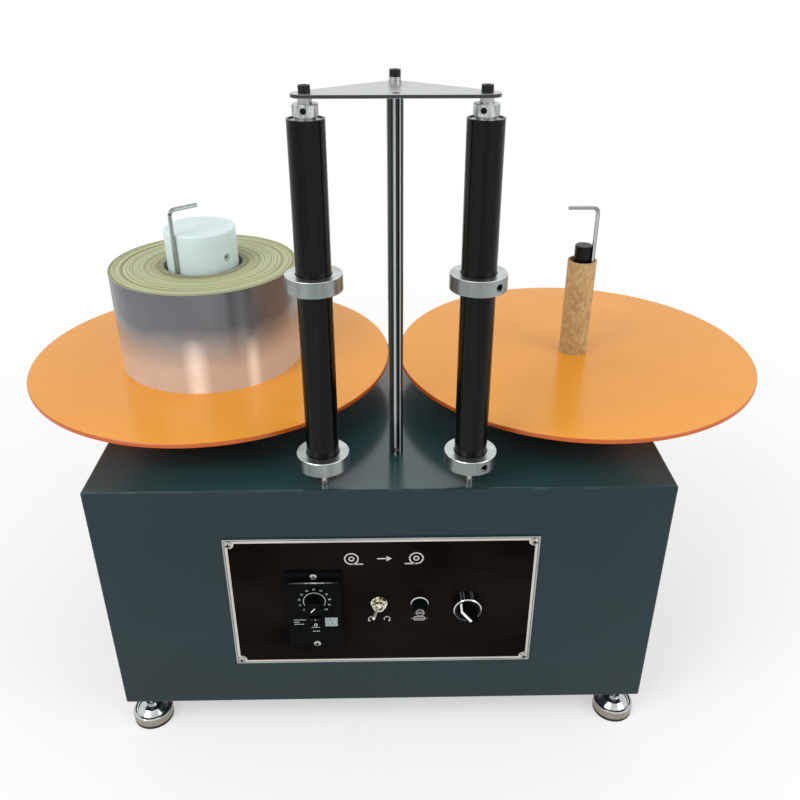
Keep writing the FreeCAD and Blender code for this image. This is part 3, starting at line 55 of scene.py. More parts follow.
# ---- Control panel print
PANEL_BORDER = 5 * MM
PANEL_SCREW_IN = 6.2 * MM
NOTCH_R = 5.6 * MM
CONTROLLER_SCREWS_APART = 95 * MM
CROSS_HALF_W = 0.7 * MM
CROSS_REACH = 2.5 * MM
PRINT_T = 0.12 * MM
INK_T = 0.1 * MM
RIM_OUT, RIM_IN = 1.7 * MM, 2.3 * MM      # groove in the plate's rim, in from its edge; painted dark as painted shade
SIGN_X = (-32 * MM, 2 * MM, 36 * MM)      # the three signs, from the cabinet's middle
SIGN_DOWN = 85.5 * MM                     # below the cabinet's top
SIGN_R = 7 * MM
SIGN_LINE = 1.5 * MM
ROLL_SIGN = (0.36, 0.15, 1.75)            # its core's radius, and its web's ends; shares of SIGN_R
ARROW_SIGN = (0.5, 1.2, 0.95)             # its shaft's end, its tip and its head's length; shares of SIGN_R
ARROW_HALF_ANGLE = 32
SMALL_SIGN_DROP = 23 * MM                 # signs under the toggle and the fuse, below their middles
SMALL_LINE = 0.9 * MM
TURN_SIGN_R = 3.2 * MM
TURN_SIGN_HEAD = (0.75, 0.95)             # its tip beyond the arc, and its length; shares of TURN_SIGN_R
TURN_SIGN_ENDS = (-30, 210)
TURN_SIGN_APART = 17 * MM
FUSE_SIGN_W, FUSE_SIGN_H = 11 * MM, 4.6 * MM
FUSE_WIRE = (1.6, 0.7)                    # half length and width, as shares of the box's and its line's

# ---- Dial of the speed controller
DIAL_ARC_R = 11.7 * MM
DIAL_ARC_ENDS = (207, -27)                # degrees, seen from the front
DIAL_LINE = 0.75 * MM
NUMBER_R = 16.4 * MM
NUMBER_ENDS = (225, -45)
NUMBER_SIZE = 3.1 * MM
NUMBER_COUNT = 11
NUMBER_STEP = 10
STICKER_X = (10.3 * MM, 23.8 * MM)        # from the dial's middle
STICKER_DOWN = (23.2 * MM, 35.6 * MM)     # below the dial's middle
# rows of dashes on the dial: left end from the dial's middle, place below it, length; mm
DASH_ROWS = ((-23.6, 25.6, 13.6), (-23.6, 28.8, 6.2), (-23.2, 31.8, 10.4),
             (-4.6, 36.6, 8.6), (-3.6, 42.2, 7.6))
DASH_H = 0.9 * MM
DASH_L = (0.9, 2.4)                       # shortest and longest dash, mm
DASH_GAP = 0.5
DASH_SEED = 3
ROCKER_TILT = math.radians(8)
ROCKER_BELOW_KNOB = 28.5 * MM
ROCKER_PIVOT = 3 * MM                     # behind the raised face
ROCKER_HALF_H = 7 * MM
ROCKER_PROUD = 1.5 * MM
ROCKER_MARK_UP = 4.2 * MM
ROCKER_MARK_R = 1.5 * MM
ROCKER_LINE = 0.5 * MM
FACE_TOP_UP = 42.75 * MM                  # raised face's upper edge, above the flange's middle
FACE_HIGHLIGHT_W = 0.9 * MM
POINTER_ANGLE = 229
POINTER_ENDS = (-2.1 * MM, 4.6 * MM)      # along its way from the knob's axis
POINTER_W = 0.95 * MM
POINTER_SUNK = 0.4 * MM
POINTER_FILL = 0.9                        # share of the slot that the paint fills

# ---- Selector and fuse cap
HANDLE_ANGLE = 128
HANDLE_RIDGE = 12.5 * MM                  # ridge, in front of the bezel
HANDLE_LINE_W = 2.6 * MM
HANDLE_LINE_END = -4.8 * MM
SKIN = 0.05 * MM                          # keeps the edge of a colour off the face beside it
FACING_FRONT = (1, 0, 1)                  # the directions across an axis that points to the front
BEZEL_LIP_R = 14.1 * MM                   # inside of the bezel's bright lip
BEZEL_LIP_D = 1.0 * MM
BEZEL_PAINTED_HIGHLIGHTS = ((112, 9), (72, 5))       # painted highlights: bright streaks along the bezel; angle from the front, half width
CAP_RING_R = (4.6 * MM, 3.9 * MM)
CAP_BAR_W = 0.7 * MM                      # bars on both sides of the slot
CAP_BAR_HALF_L = 0.92                     # share of the ring's inner radius
CAP_SLOT_HALF_W = 0.65 * MM
CAP_INSERT_T = 0.2 * MM
FUSE_BEVEL = 1.45 * MM                    # bevel round the fuse holder
FUSE_HIGHLIGHT_W = 0.8 * MM                     # its outer part, with a painted highlight at the top
FUSE_HIGHLIGHT_RISE = (-1.5 * MM, 2.5 * MM)     # above the axis, where the painted highlight begins and is full
FUSE_CAPS_FROM = (4.9 * MM, 5.0 * MM)     # glass turns into caps, from the fuse's middle
INLET_PINS = (8.1 * MM, 4.1 * MM)         # half width and half height of the field with the brass pins
INLET_DEPTH = 16.9 * MM

# ---- Label roll
ROLL_BANDS = 34
ROLL_UNEVEN = 0.7 * MM
ROLL_WAVE = 0.3                           # share of a lap's depth that comes and goes round the roll
ROLL_LAP = 0.3 * MM
ROLL_STEPS = 144
ROLL_SEED = 5
CORE_FIT = 0.02 * MM
FILM_PAINTED_HIGHLIGHTS = ((1.7, 8), (36, 5))        # painted highlights: pale bands low on the roll; angle from the front, half width
FILM_WAVE = 30 * MM                       # how far dents move the change from the low painted reflection to the high one
LAP_DRIFT = 0.3 * MM                      # how far the edges wander outwards in a radian
DULL_LAPS_R = (52 * MM, 70 * MM)          # the inner laps are duller; it ends between these

# ---- Post, plate, spindle and discs
DRAWN_UP = (1, 1, 0.004)                  # stretch of marks that run up and down
# painted reflections: bright streaks along the post; angle from the front, half width
POST_PAINTED_REFLECTIONS = ((-6, 11), (36, 7), (98, 9), (163, 12), (-128, 10), (-70, 6))
PLATE_FACE = (0.42, 0.47)                 # from the plate's middle, shares of its thickness
SPINDLE_RUB_H = 1.2 * MM
DISC_EDGE = (0.7 * MM, 1.1 * MM)          # the disc's face begins, in from its edge

# ---- Adapter, cores and keys
NYLON_LIGHT_IN = (8 * MM, 9 * MM, 9 * MM)
SEAM_PITCH = {"label_core": 90 * MM, "right_core": 42 * MM}
SEAM_HALF_W = 0.012                       # share of the pitch
GRUB_SHADE_RING_R = (4.4 * MM, 2.7 * MM)
KEY_ARM_DOWN = 9 * MM                     # the arm and its bend reach this far below a key's top

# ---- Louvres pressed in the rear cover
LOUVRE_COLUMNS = (-126 * MM, 44 * MM)
LOUVRE_TOP_DOWN = 70 * MM
LOUVRE_PITCH = 13 * MM
LOUVRE_ROWS = 7
LOUVRE_HALF_W = 32 * MM
LOUVRE_RISE = 6.2 * MM
LOUVRE_DROP = 1.8 * MM
LOUVRE_PROUD = 4 * MM
LOUVRE_T = 0.7 * MM
LOUVRE_STEPS = (25, 8)                    # across and down
LOUVRE_SQUARE = 6                         # a higher power gives squarer ends
LOUVRE_SMOOTH = 50

# ---- Set screws: the way each one points, in degrees from +X
SET_SCREWS = {"left_width_collar": 130.0, "right_width_collar": -50.5,
              "left_base_collar": 110.0, "right_base_collar": -62.9}
TOP_SET_SCREWS = {"left_base_collar": -93.7, "right_base_collar": -108.8}
SET_SCREW_R, TOP_SET_SCREW_R = 3.7 * MM, 2.6 * MM
GLINT_R = 1.5 * MM                        # painted highlight: a bright spot low in each large set screw's hole
GLINT_DOWN, GLINT_ACROSS = 1.2 * MM, -0.6 * MM
TOP_COLLAR_SCREW_DOWN = 4.75 * MM         # below the top collars' upper face
# in from a collar's side: its painted edge highlight begins, is full, and ends
COLLAR_HIGHLIGHT_EDGE = (0.8 * MM, 0.5 * MM, 0.2 * MM)
COLLAR_BORE_SHADE_R = (16.5 * MM, 17.0 * MM)    # the painted shade in the bore ends between these

# ---- Levelling feet
PAD_TOP = 4.05 * MM
FOOT_R = 23 * MM
FOOT_EDGE = (0.4 * MM, 0.1 * MM)          # the dish turns into the side, in from it

# ---- Camera, lamps and floor
CAMERA_FROM_CABINET = Vector((5.8, -681.1, 475.1)) * MM   # from the middle of its top front edge
CAMERA_FORWARD = Vector((0.0169, 0.8770, -0.4799))
CAMERA_LENS = 37.16
CAMERA_SENSOR = 36
CAMERA_FAR = 50
LAMPS_AIM = Vector((0, 0, 0.3))
# each lamp's place, size and watts
LAMPS = {"key_lamp": ((-1.6, -1.6, 2.4), 1.6, 36), "fill_lamp": ((1.9, -1.2, 1.6), 1.4, 16)}
FLOOR_SIZE = 12.0
FLOOR_LIFT = (0.5, 1.0)                   # share of plain white in the floor near the machine, and far off
FLOOR_LIFT_R = (0.5, 1.5)                 # from the machine's middle, where it begins to rise and is full
WORLD_LIGHT = 0.72

# ---- Mesh making
SMOOTH_BELOW = 35                         # degrees
SAME_POINT = 1e-9
WELD, ROLL_WELD = 1e-7, 1e-6


def rgb(red, green, blue):
    """A colour written as screen values, 0 to 255, by the sRGB curve."""
    parts = [c / 255 for c in (red, green, blue)]
    return tuple(c / 12.92 if c <= 0.04045 else ((c + 0.055) / 1.055) ** 2.4 for c in parts) + (1.0,)


# ---- Shader building
class Value:
    """One output of a shader node; arithmetic on it adds Math nodes."""

    def __init__(self, finish, socket):
        self.finish = finish
        self.socket = socket

    def math(self, operation, *terms):
        return self.finish.node("ShaderNodeMath", {"operation": operation}, dict(enumerate(terms)))

    def __add__(self, other):
        return self.math("ADD", self, other)

    def __sub__(self, other):
        return self.math("SUBTRACT", self, other)

    def __rsub__(self, other):
        return self.math("SUBTRACT", other, self)

    def __mul__(self, other):
        return self.math("MULTIPLY", self, other)

    def __gt__(self, other):
        return self.math("GREATER_THAN", self, other)

    def __lt__(self, other):
        return self.math("LESS_THAN", self, other)

    def __abs__(self):
        return self.math("ABSOLUTE", self)

    def least(self, other):
        return self.math("MINIMUM", self, other)

    def length_with(self, other):
        """Root of the sum of both squares."""
        total = self * self + other * other
        return total.math("SQRT", total)

    __radd__, __rmul__ = __add__, __mul__


class Finish:
    """A material, and the nodes that vary its surface."""

    def __init__(self, name, constants):
        self.material = bpy.data.materials.new(name)
        self.material.use_nodes = True
        self.tree = self.material.node_tree
        self.shader = self.tree.nodes["Principled BSDF"]
        for socket, value in constants.items():
            self.shader.inputs[socket].default_value = value
        self.point = self.node("ShaderNodeTexCoord", {}, {}, "Object")

    def node(self, kind, settings, inputs, out=0):
        """Add a node: first its settings, then its sockets' values or links."""
        new = self.tree.nodes.new(kind)
        for name, value in settings.items():
            setattr(new, name, value)
        for key, value in inputs.items():
            if isinstance(value, Value):
                self.tree.links.new(value.socket, new.inputs[key])
            else:
                new.inputs[key].default_value = value
        return Value(self, new.outputs[out])

    def feed(self, socket, value):
        self.tree.links.new(value.socket, self.shader.inputs[socket])

    def surface(self, colour, roughness, metallic=None):
        """Feed what varies over the surface in most finishes."""
        self.feed("Base Color", colour)
        self.feed("Roughness", roughness)
        if metallic:
            self.feed("Metallic", metallic)

    def vector(self, operation, first, second, out=0):
        return self.node("ShaderNodeVectorMath", {"operation": operation}, {0: first, 1: second}, out)

    def split(self, vector):
        return [self.node("ShaderNodeSeparateXYZ", {}, {"Vector": vector}, k) for k in range(3)]

    def axes(self):
        """X, Y and Z in the frame, in metres."""
        return self.split(self.point)

    def noise(self, scale, detail, stretch=(1, 1, 1)):
        """Cloudy 0 to 1 pattern; scale is in cells a metre, and a stretch below 1 draws it out."""
        vector = self.vector("MULTIPLY", self.point, stretch)
        return self.node("ShaderNodeTexNoise", {}, {"Vector": vector, "Scale": scale, "Detail": detail})

    def lines(self, place, scale, detail):
        """Uneven 0 to 1 lines across a length such as a radius."""
        return self.node("ShaderNodeTexNoise", {"noise_dimensions": "1D"},
                         {"W": place, "Scale": scale, "Detail": detail})

    def fade(self, value, low, high):
        """0 below low, 1 above high, and a ramp between them."""
        return self.node("ShaderNodeMapRange", {}, {"Value": value, "From Min": low, "From Max": high})

    def mix(self, factor, first, second):
        """Colour between two colours."""
        return self.node("ShaderNodeMix", {"data_type": "RGBA"}, {0: factor, 6: first, 7: second}, 2)

    def relief(self, height, depth):
        """Fine bumps of that depth, in metres."""
        self.feed("Normal", self.node("ShaderNodeBump", {},
                                      {"Strength": 1.0, "Distance": depth, "Height": height}, "Normal"))

    def along(self, place, way):
        """Distance from a place, along a way."""
        return self.vector("DOT_PRODUCT", self.vector("SUBTRACT", self.point, place), way, "Value")

    def radius(self, axis, across=(1, 1, 0)):
        """Distance from an axis; across it lie X and Y for an upright one, X and Z for one to the front."""
        flat = self.vector("MULTIPLY", self.point, across)
        return self.vector("DISTANCE", flat, Vector(axis) * Vector(across), "Value")

    def turn(self, axis):
        """Angle round an upright axis, in radians; it jumps at the back."""
        x, y, _ = self.axes()
        return x.math("ARCTAN2", x - axis.x, axis.y - y)

    def stripes(self, turn, places, full):
        """1 near some angles, each with its half width in degrees; full is the share that has no fade."""
        total = 0
        for degrees, half in places:
            away = abs(turn - math.radians(degrees))
            total = self.fade(away, math.radians(half), math.radians(half * full)) + total
        return total

    def near_edges(self, node, width):
        """1 within a width of the edges of a node's box."""
        size = self.vector("ABSOLUTE", self.vector("SUBTRACT", self.point, middle(node)), (0, 0, 0))
        dx, dy, dz = self.split(self.vector("SUBTRACT", half_size(node), size))
        farthest = dx.math("MAXIMUM", dx, dy.math("MAXIMUM", dy, dz))
        return self.fade(dx + dy + dz - farthest, width, 0)

    def beside(self, place, centre, half):
        """Distance along one axis from the nearer of two mirrored places."""
        return abs(abs(place - centre) - half)


def middle(node):
    """Middle of a node's box."""
    low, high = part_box(node)
    return (low + high) / 2


def half_size(node):
    """Half the size of a node's box."""
    low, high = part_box(node)
    return (high - low) / 2


def dress(finish, *nodes):
    """Give CAD nodes a finish."""
    for name in nodes:
        for material_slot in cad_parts[name].material_slots:
            material_slot.material = finish.material


# ---- Finishes: painted and printed metal
def cabinet_paint():
    """Blue-grey powder coat: fine orange peel, faint clouds, worn edges, a glossier top, and a lighter teal
    top that is a painted reflection.
    """
    shade = Finish("cabinet_paint", {"Specular IOR Level": 0.24, "Coat Roughness": 0.16})
    cloud = shade.noise(5, 3)
    wear_and_painted_highlight = shade.near_edges("cabinet_shell", RUBBED_EDGE_W) * shade.fade(shade.noise(90, 4), 0.5, 0.62)
    _, _, z = shade.axes()
    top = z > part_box("cabinet_shell")[1].z - TOP_SKIN
    sides = shade.mix(cloud, rgb(22, 40, 44), rgb(31, 50, 55))
    # the top's lighter, more teal colour is a painted reflection
    coat = shade.mix(top, sides, shade.mix(cloud, rgb(26, 60, 63), rgb(38, 72, 75)))
    shade.surface(shade.mix(wear_and_painted_highlight * 0.4, coat, rgb(100, 118, 122)), cloud * 0.1 + 0.24)
    shade.feed("Coat Weight", top)
    shade.relief(shade.noise(750, 2), 0.03 * MM)
    return shade


def panel_plate():
    """Plated panel sheet: its rim has an outer bevel in a cooler, darker painted reflection, a groove in
    painted shade, and a bright band.
    """
    shade = Finish("panel_plate", {"Metallic": 1.0})
    half, centre = half_size("control_panel"), middle("control_panel")
    x, _, z = shade.axes()
    inward = (half.x - abs(x - centre.x)).least(half.z - abs(z - centre.z))
    band = shade.fade(inward, RIM_OUT, RIM_IN)
    groove = (inward > RIM_OUT) * (inward < RIM_IN)
    brushed = shade.noise(900, 3, (0.02, 1, 1))
    tone = shade.noise(11, 2)
    # the bevel's cooler, darker tone is a painted reflection, and the groove's dark is painted shade
    bevel = shade.mix(tone, rgb(120, 130, 132), rgb(186, 196, 196))
    bright = shade.mix(brushed * 0.4 + tone * 0.6, rgb(170, 162, 152), rgb(236, 230, 222))
    rim = shade.mix(band, bevel, bright)
    shade.surface(shade.mix(groove * 0.8, rim, rgb(56, 54, 52)), brushed * 0.15 + 0.2)
    shade.relief(brushed + band * 0.5, 0.05 * MM)
    return shade


def panel_ink():
    """Brown-black field with faint smears."""
    shade = Finish("panel_ink", {"Specular IOR Level": 0.02})
    smear = shade.fade(shade.noise(16, 4, (0.5, 1, 1)), 0.35, 0.75)
    shade.surface(shade.mix(smear, rgb(9, 6, 4), rgb(26, 21, 17)), smear * 0.18 + 0.14)
    shade.relief(shade.noise(1400, 2), 0.008 * MM)
    return shade


def ink(name, dark, pale, scale, detail, rough):
    """Silk-screened or filled-in marks, with a fine grain."""
    shade = Finish(name, {})
    grain = shade.noise(scale, detail)
    shade.surface(shade.mix(grain, dark, pale), grain * 0.2 + rough)
    return shade


def sticker_paper():
    """Pale grey-green sticker with faint blotches."""
    shade = Finish("sticker_paper", {})
    blotch = shade.fade(shade.noise(420, 2), 0.3, 0.7)
    shade.surface(shade.mix(blotch, rgb(92, 104, 104), rgb(172, 188, 186)), blotch * 0.15 + 0.4)
    return shade


# ---- Finishes: bare and plated metal
def turned_metal(name, dark, pale, rough):
    """Turned metal: fine lines run round it, on its ends and its sides."""
    shade = Finish(name, {"Metallic": 1.0})
    _, _, z = shade.axes()
    cuts = shade.lines(z, 2600, 3)
    stain = shade.noise(60, 3)
    shade.surface(shade.mix(stain, dark, pale), stain * 0.12 + cuts * 0.08 + rough)
    shade.relief(cuts, 0.006 * MM)
    return shade


def screw_heads():
    """Bright screw heads on the panel, whose cross recesses are painted dark as painted shade."""
    shade = Finish("screw_heads", {"Metallic": 1.0})
    half, centre = half_size("control_panel"), middle("control_panel")
    flange = middle("speed_controller")
    x, _, z = shade.axes()
    corner_x = shade.beside(x, centre.x, half.x - PANEL_SCREW_IN)
    corner_z = shade.beside(z, centre.z, half.z - PANEL_SCREW_IN)
    flange_x, flange_z = abs(x - flange.x), shade.beside(z, flange.z, CONTROLLER_SCREWS_APART / 2)
    # the crosses stand for the recesses, coloured with painted shade
    crosses = [(across.least(up) < CROSS_HALF_W) * (across.length_with(up) < CROSS_REACH)
               for across, up in ((corner_x, corner_z), (flange_x, flange_z))]
    cross = crosses[0] + crosses[1]
    stain = shade.noise(500, 3)
    bright = shade.mix(stain, rgb(150, 146, 136), rgb(222, 218, 208))
    rim = shade.fade(shade.noise(900, 1), 0.5, 0.6) * 0.5
    head = shade.mix(rim, bright, rgb(84, 80, 74))
    shade.surface(shade.mix(cross, head, rgb(16, 14, 12)), stain * 0.1 + cross * 0.5 + 0.1)
    shade.relief(stain, 0.01 * MM)
    return shade


def key_steel(node):
    """Plated hexagon key, with fine draw marks along its leg and along its arm."""
    shade = Finish(node + "_steel", {"Metallic": 1.0})
    _, _, z = shade.axes()
    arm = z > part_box(node)[1].z - KEY_ARM_DOWN
    along_leg = shade.fade(shade.noise(520, 1, DRAWN_UP), 0.3, 0.54)
    along_arm = shade.fade(shade.lines(z, 700, 0), 0.2, 0.7)
    drawn = along_leg * (1 - arm) + along_arm * arm
    shade.surface(shade.mix(drawn, rgb(70, 76, 78), rgb(188, 194, 194)), drawn * 0.1 + 0.18)
    return shade


def collar_aluminium(name, screws, holes, outer, tones, streaks):
    """Turned aluminium collars with painted light: paler ends, duller side, bright edge, shaded bore and
    holes.

    Each set screw is dark, and is a place and an angle; holes are the radii of their holes and of the painted
    glints in them.
    """
    shade = Finish(name, {})
    x, y, z = shade.axes()
    hole, glint = 0, 0
    for place, degrees in screws:
        way = math.radians(degrees)
        aim = Vector((math.cos(way), math.sin(way), 0))
        ahead, across = shade.along(place, aim), shade.along(place, aim.cross((0, 0, 1)))
        up = z - place.z
        hole = (across.length_with(up) < holes[0]) * (ahead > 0) + hole
        spot = (across + GLINT_ACROSS).length_with(up + GLINT_DOWN)
        glint = (spot < holes[1]) * (ahead > 0) + glint
    first = screws[0][0]
    radius = (abs(x) - abs(first.x)).length_with(y - first.y)
    edge_starts, edge_full, edge_ends = [outer - inward for inward in COLLAR_HIGHLIGHT_EDGE]
    side = shade.fade(radius, edge_full, edge_ends)
    # the bright edge is a painted highlight
    painted_edge_highlight = shade.fade(radius, edge_starts, edge_full) * (1 - side)
    # the bore's dark ring is painted shade
    bore = 1 - shade.fade(radius, *COLLAR_BORE_SHADE_R) if outer > COLLAR_BORE_SHADE_R[1] else 0
    cuts = shade.lines(radius + z, 2200, 3)
    stain = shade.fade(shade.noise(streaks, 3, (1, 1, 0.2)), 0.3, 0.7)
    # pale ends and duller sides are lit and shaded copies of one metal, painted
    ends = shade.mix(stain, rgb(176, 182, 180), rgb(214, 220, 218))
    metal = shade.mix(painted_edge_highlight, shade.mix(side, ends, shade.mix(stain, *tones)), rgb(244, 248, 246))
    metal = shade.mix(bore, metal, rgb(18, 22, 22))
    # a hole shows a dark set screw with painted shade, and a painted highlight low in the large ones
    inside = shade.mix(glint, rgb(8, 8, 8), rgb(240, 242, 240))
    shade.surface(shade.mix(hole, metal, inside), cuts * 0.14 + 0.24, 1 - hole * 0.4)
    shade.relief(cuts * (1 - hole), 0.008 * MM)
    return shade


def polished_post():
    """Dark polished steel post with bright lengthwise streaks that are painted reflections, and faint draw
    marks.
    """
    shade = Finish("polished_post", {"Metallic": 0.3, "Specular IOR Level": 0.2})
    # bright streaks at set angles round the post: painted reflections
    marks = shade.stripes(shade.turn(middle("back_post")), POST_PAINTED_REFLECTIONS, full=0.3)
    drawn = shade.fade(shade.noise(260, 1, DRAWN_UP), 0.35, 0.65)
    dark = shade.mix(drawn, rgb(20, 24, 26), rgb(62, 70, 72))
    shade.surface(shade.mix(marks, dark, rgb(196, 204, 204)), drawn * 0.12 + 0.1)
    return shade


def satin_plate():
    """Cut steel plate: satin face, and darker cut edges."""
    shade = Finish("satin_plate", {"Metallic": 1.0})
    _, _, z = shade.axes()
    thickness = 2 * half_size("top_plate").z
    face = shade.fade(abs(z - middle("top_plate").z), *[thickness * share for share in PLATE_FACE])
    grain = shade.noise(700, 3, (0.03, 1, 1))
    bright = shade.mix(grain, rgb(180, 184, 184), rgb(208, 211, 210))
    shade.surface(shade.mix(face, rgb(66, 70, 72), bright), grain * 0.15 + 0.27)
    shade.relief(grain, 0.01 * MM)
    return shade


def black_oxide():
    """Blackened screws, faintly oily."""
    shade = Finish("black_oxide", {"Metallic": 0.8})
    oil = shade.noise(300, 3)
    shade.surface(shade.mix(oil, rgb(16, 17, 18), rgb(44, 46, 48)), oil * 0.2 + 0.28)
    shade.relief(shade.noise(1600, 2), 0.01 * MM)
    return shade


def black_spindle():
    """Blackened spindle whose worn end is grey."""
    shade = Finish("black_spindle", {"Metallic": 0.7})
    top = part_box("right_spindle")[1].z
    _, _, z = shade.axes()
    rub = shade.fade(z, top - SPINDLE_RUB_H, top) * shade.noise(420, 4)
    shade.surface(shade.mix(rub, rgb(20, 20, 20), rgb(96, 98, 98)), rub * 0.3 + 0.3)
    shade.relief(shade.noise(1200, 3), 0.02 * MM)
    return shade


def black_tube():
    """Hard-anodised roller tube, drawn lengthwise, with a few small scuffs."""
    shade = Finish("black_tube", {"Specular IOR Level": 0.14})
    drawn = shade.noise(170, 3, (1, 1, 0.02))
    scuff = shade.fade(shade.noise(150, 3), 0.7, 0.78)
    black = shade.mix(shade.fade(drawn, 0.35, 0.65), rgb(1, 3, 1), rgb(14, 18, 12))
    shade.surface(shade.mix(scuff * 0.16, black, rgb(70, 70, 64)), drawn * 0.14 + scuff * 0.2 + 0.1)
    shade.relief(shade.noise(1500, 2), 0.006 * MM)
    return shade


def foot_metal():
    """Levelling foot: dish and edge painted bright and the side duller, as lit and shaded copies of one
    plating, and a black rubber pad below.
    """
    shade = Finish("foot_metal", {})
    x, y, z = shade.axes()
    first, last = middle("foot_front_left"), middle("foot_rear_right")
    centre, apart = (first + last) / 2, (last - first) / 2
    radius = (abs(x - centre.x) - apart.x).length_with(abs(y - centre.y) - apart.y)
    cup = z > PAD_TOP
    side = shade.fade(radius, *[FOOT_R - inward for inward in FOOT_EDGE])
    worn = shade.noise(160, 4)
    rubber = shade.mix(worn, rgb(8, 7, 7), rgb(26, 24, 23))
    # the dish is painted brighter and the side duller: lit and shaded copies of one plating
    dish = shade.mix(worn, rgb(164, 170, 172), rgb(222, 226, 226))
    flank = shade.mix(worn, rgb(126, 121, 108), rgb(176, 170, 154))
    rough = 0.7 - cup * 0.62 + side * cup * 0.2 + worn * 0.1
    shade.surface(shade.mix(cup, rubber, shade.mix(side, dish, flank)), rough, cup)
    shade.relief(worn, 0.01 * MM)
    return shade


def warm_nickel():
    """Plated washer and nuts with a faint yellow tint."""
    shade = Finish("warm_nickel", {"Metallic": 1.0})
    stain = shade.noise(350, 3)
    spots = shade.fade(stain, 0.38, 0.58)
    shade.surface(shade.mix(spots, rgb(84, 76, 54), rgb(242, 236, 216)), stain * 0.12 + 0.08)
    shade.relief(shade.noise(1500, 2), 0.008 * MM)
    return shade


# ---- Finishes: turntables, rolls and cores
def orange_board(node):
    """Orange laminate: speckled, faintly scratched, with its edge painted darker and redder as painted shade.
    """
    shade = Finish(node.replace("turntable", "orange_board"), {"Specular IOR Level": 0.42})
    axis = middle(node)
    _, _, z = shade.axes()
    edge = [half_size(node).x - inward for inward in DISC_EDGE]
    face = shade.fade(shade.radius(axis), *edge) * (z > axis.z)
    cloud = shade.noise(14, 3)
    speck = shade.fade(shade.noise(260, 1), 0.74, 0.8)
    top = shade.mix(cloud, rgb(230, 150, 38), rgb(240, 160, 50))
    top = shade.mix(speck * 0.12, top, rgb(160, 84, 28))
    # the edge's darker, redder colour is painted shade
    shade.surface(shade.mix(face, rgb(190, 88, 18), top), cloud * 0.12 + 0.16)
    shade.relief(shade.noise(500, 3), 0.012 * MM)
    return shade


def label_face():
    """Metallised film on the roll's side, with painted reflections: blue-grey above, pale and duller below,
    and two paler bands that are painted highlights.
    """
    shade = Finish("label_face", {})
    low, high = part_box("label_web")
    _, _, z = shade.axes()
    dents = shade.noise(26, 2, (1, 1, 0.35))
    rise = shade.fade(z + dents * FILM_WAVE, low.z + FILM_WAVE / 2, high.z + FILM_WAVE / 2)
    # two pale bands low on the roll: painted highlights
    bands = shade.stripes(shade.turn((low + high) / 2), FILM_PAINTED_HIGHLIGHTS, full=0.2)
    bands = bands * shade.fade(rise, 0.56, 0.26)
    # the pale low tone and the blue-grey high tone are painted reflections
    warm_painted_reflection = shade.mix(dents, rgb(202, 187, 177), rgb(222, 210, 202))
    cool_painted_reflection = shade.mix(dents, rgb(90, 94, 99), rgb(122, 125, 130))
    film = shade.mix(shade.fade(rise, 0.2, 0.66), warm_painted_reflection, cool_painted_reflection)
    shade.surface(shade.mix(bands, film, rgb(255, 252, 248)), dents * 0.14 + 0.22, rise * 0.6 + 0.15)
    shade.relief(shade.noise(90, 2, (1, 1, 0.2)), 0.02 * MM)
    return shade


def label_edges():
    """Ends of the wound web: hundreds of backing paper and film edges."""
    shade = Finish("label_edges", {})
    axis = middle("label_web")
    radius = shade.radius(axis)
    spiral = radius + shade.turn(axis) * LAP_DRIFT
    fine = shade.lines(spiral, 1500, 4)
    laps = shade.fade(shade.lines(spiral, 620, 4), 0.4, 0.6)
    broad = shade.fade(shade.lines(spiral, 150, 3), 0.52, 0.66)
    inner = 1 - shade.fade(radius, *DULL_LAPS_R)
    paper = shade.mix(fine * 0.5 + laps * 0.5, rgb(128, 129, 82), rgb(218, 222, 182))
    shade.surface(shade.mix(broad * 0.4 + inner * 0.3, paper, rgb(120, 116, 72)), fine * 0.3 + 0.5)
    shade.relief(fine, 0.12 * MM)
    return shade


def board_tube(name, node, dark, pale):
    """Spiral-wound board tube: fibres, and the thin line where its strips meet."""
    shade = Finish(name, {})
    _, _, z = shade.axes()
    wind = z * (1 / SEAM_PITCH[node]) + shade.turn(middle(node)) * (0.5 / math.pi)
    seam = abs(wind.math("FRACT", wind) - 0.5) < SEAM_HALF_W
    fibre = shade.noise(420, 5, (1, 1, 0.4))
    blotch = shade.fade(shade.noise(70, 3), 0.45, 0.7)
    board = shade.mix(fibre, dark, pale)
    shade.surface(shade.mix(seam * 0.25 + blotch * 0.35, board, dark), fibre * 0.2 + 0.7)
    shade.relief(fibre - seam * 0.8, 0.08 * MM)
    return shade


def white_nylon():
    """Milky nylon drum, turned, with light passing a little way in, and a ring of painted shade round the
    grub screw's hole.
    """
    shade = Finish("white_nylon", {"Subsurface Weight": 0.35, "Subsurface Radius": NYLON_LIGHT_IN,
                                   "Subsurface Scale": 1.0})
    axis, screw = middle("core_adapter"), middle("adapter_screw")
    _, _, z = shade.axes()
    cuts = shade.lines(shade.radius(axis) + z, 900, 3)
    outer, inner = GRUB_SHADE_RING_R
    aim = Vector((screw.x - axis.x, screw.y - axis.y, 0)).normalized()
    ahead, across = shade.along(screw, aim), shade.along(screw, aim.cross((0, 0, 1)))
    off = across.length_with(z - screw.z)
    # a ring of painted shade round the grub screw's hole
    rim = (off < outer) * (off > inner) * (ahead > 0)
    nylon = shade.mix(shade.noise(30, 3), rgb(200, 219, 219), rgb(221, 236, 236))
    shade.surface(shade.mix(rim * 0.6, nylon, rgb(96, 106, 104)), cuts * 0.2 + 0.35)
    shade.relief(cuts, 0.015 * MM)
    return shade


# ---- Finishes: switches and moulded pieces
def spark_grain(shade, rough, depth=0.015 * MM):
    """Fine spark-eroded grain on a moulding; gives its pattern and its roughness."""
    grain = shade.noise(1300, 2)
    shade.relief(grain, depth)
    return grain, grain * 0.12 + rough


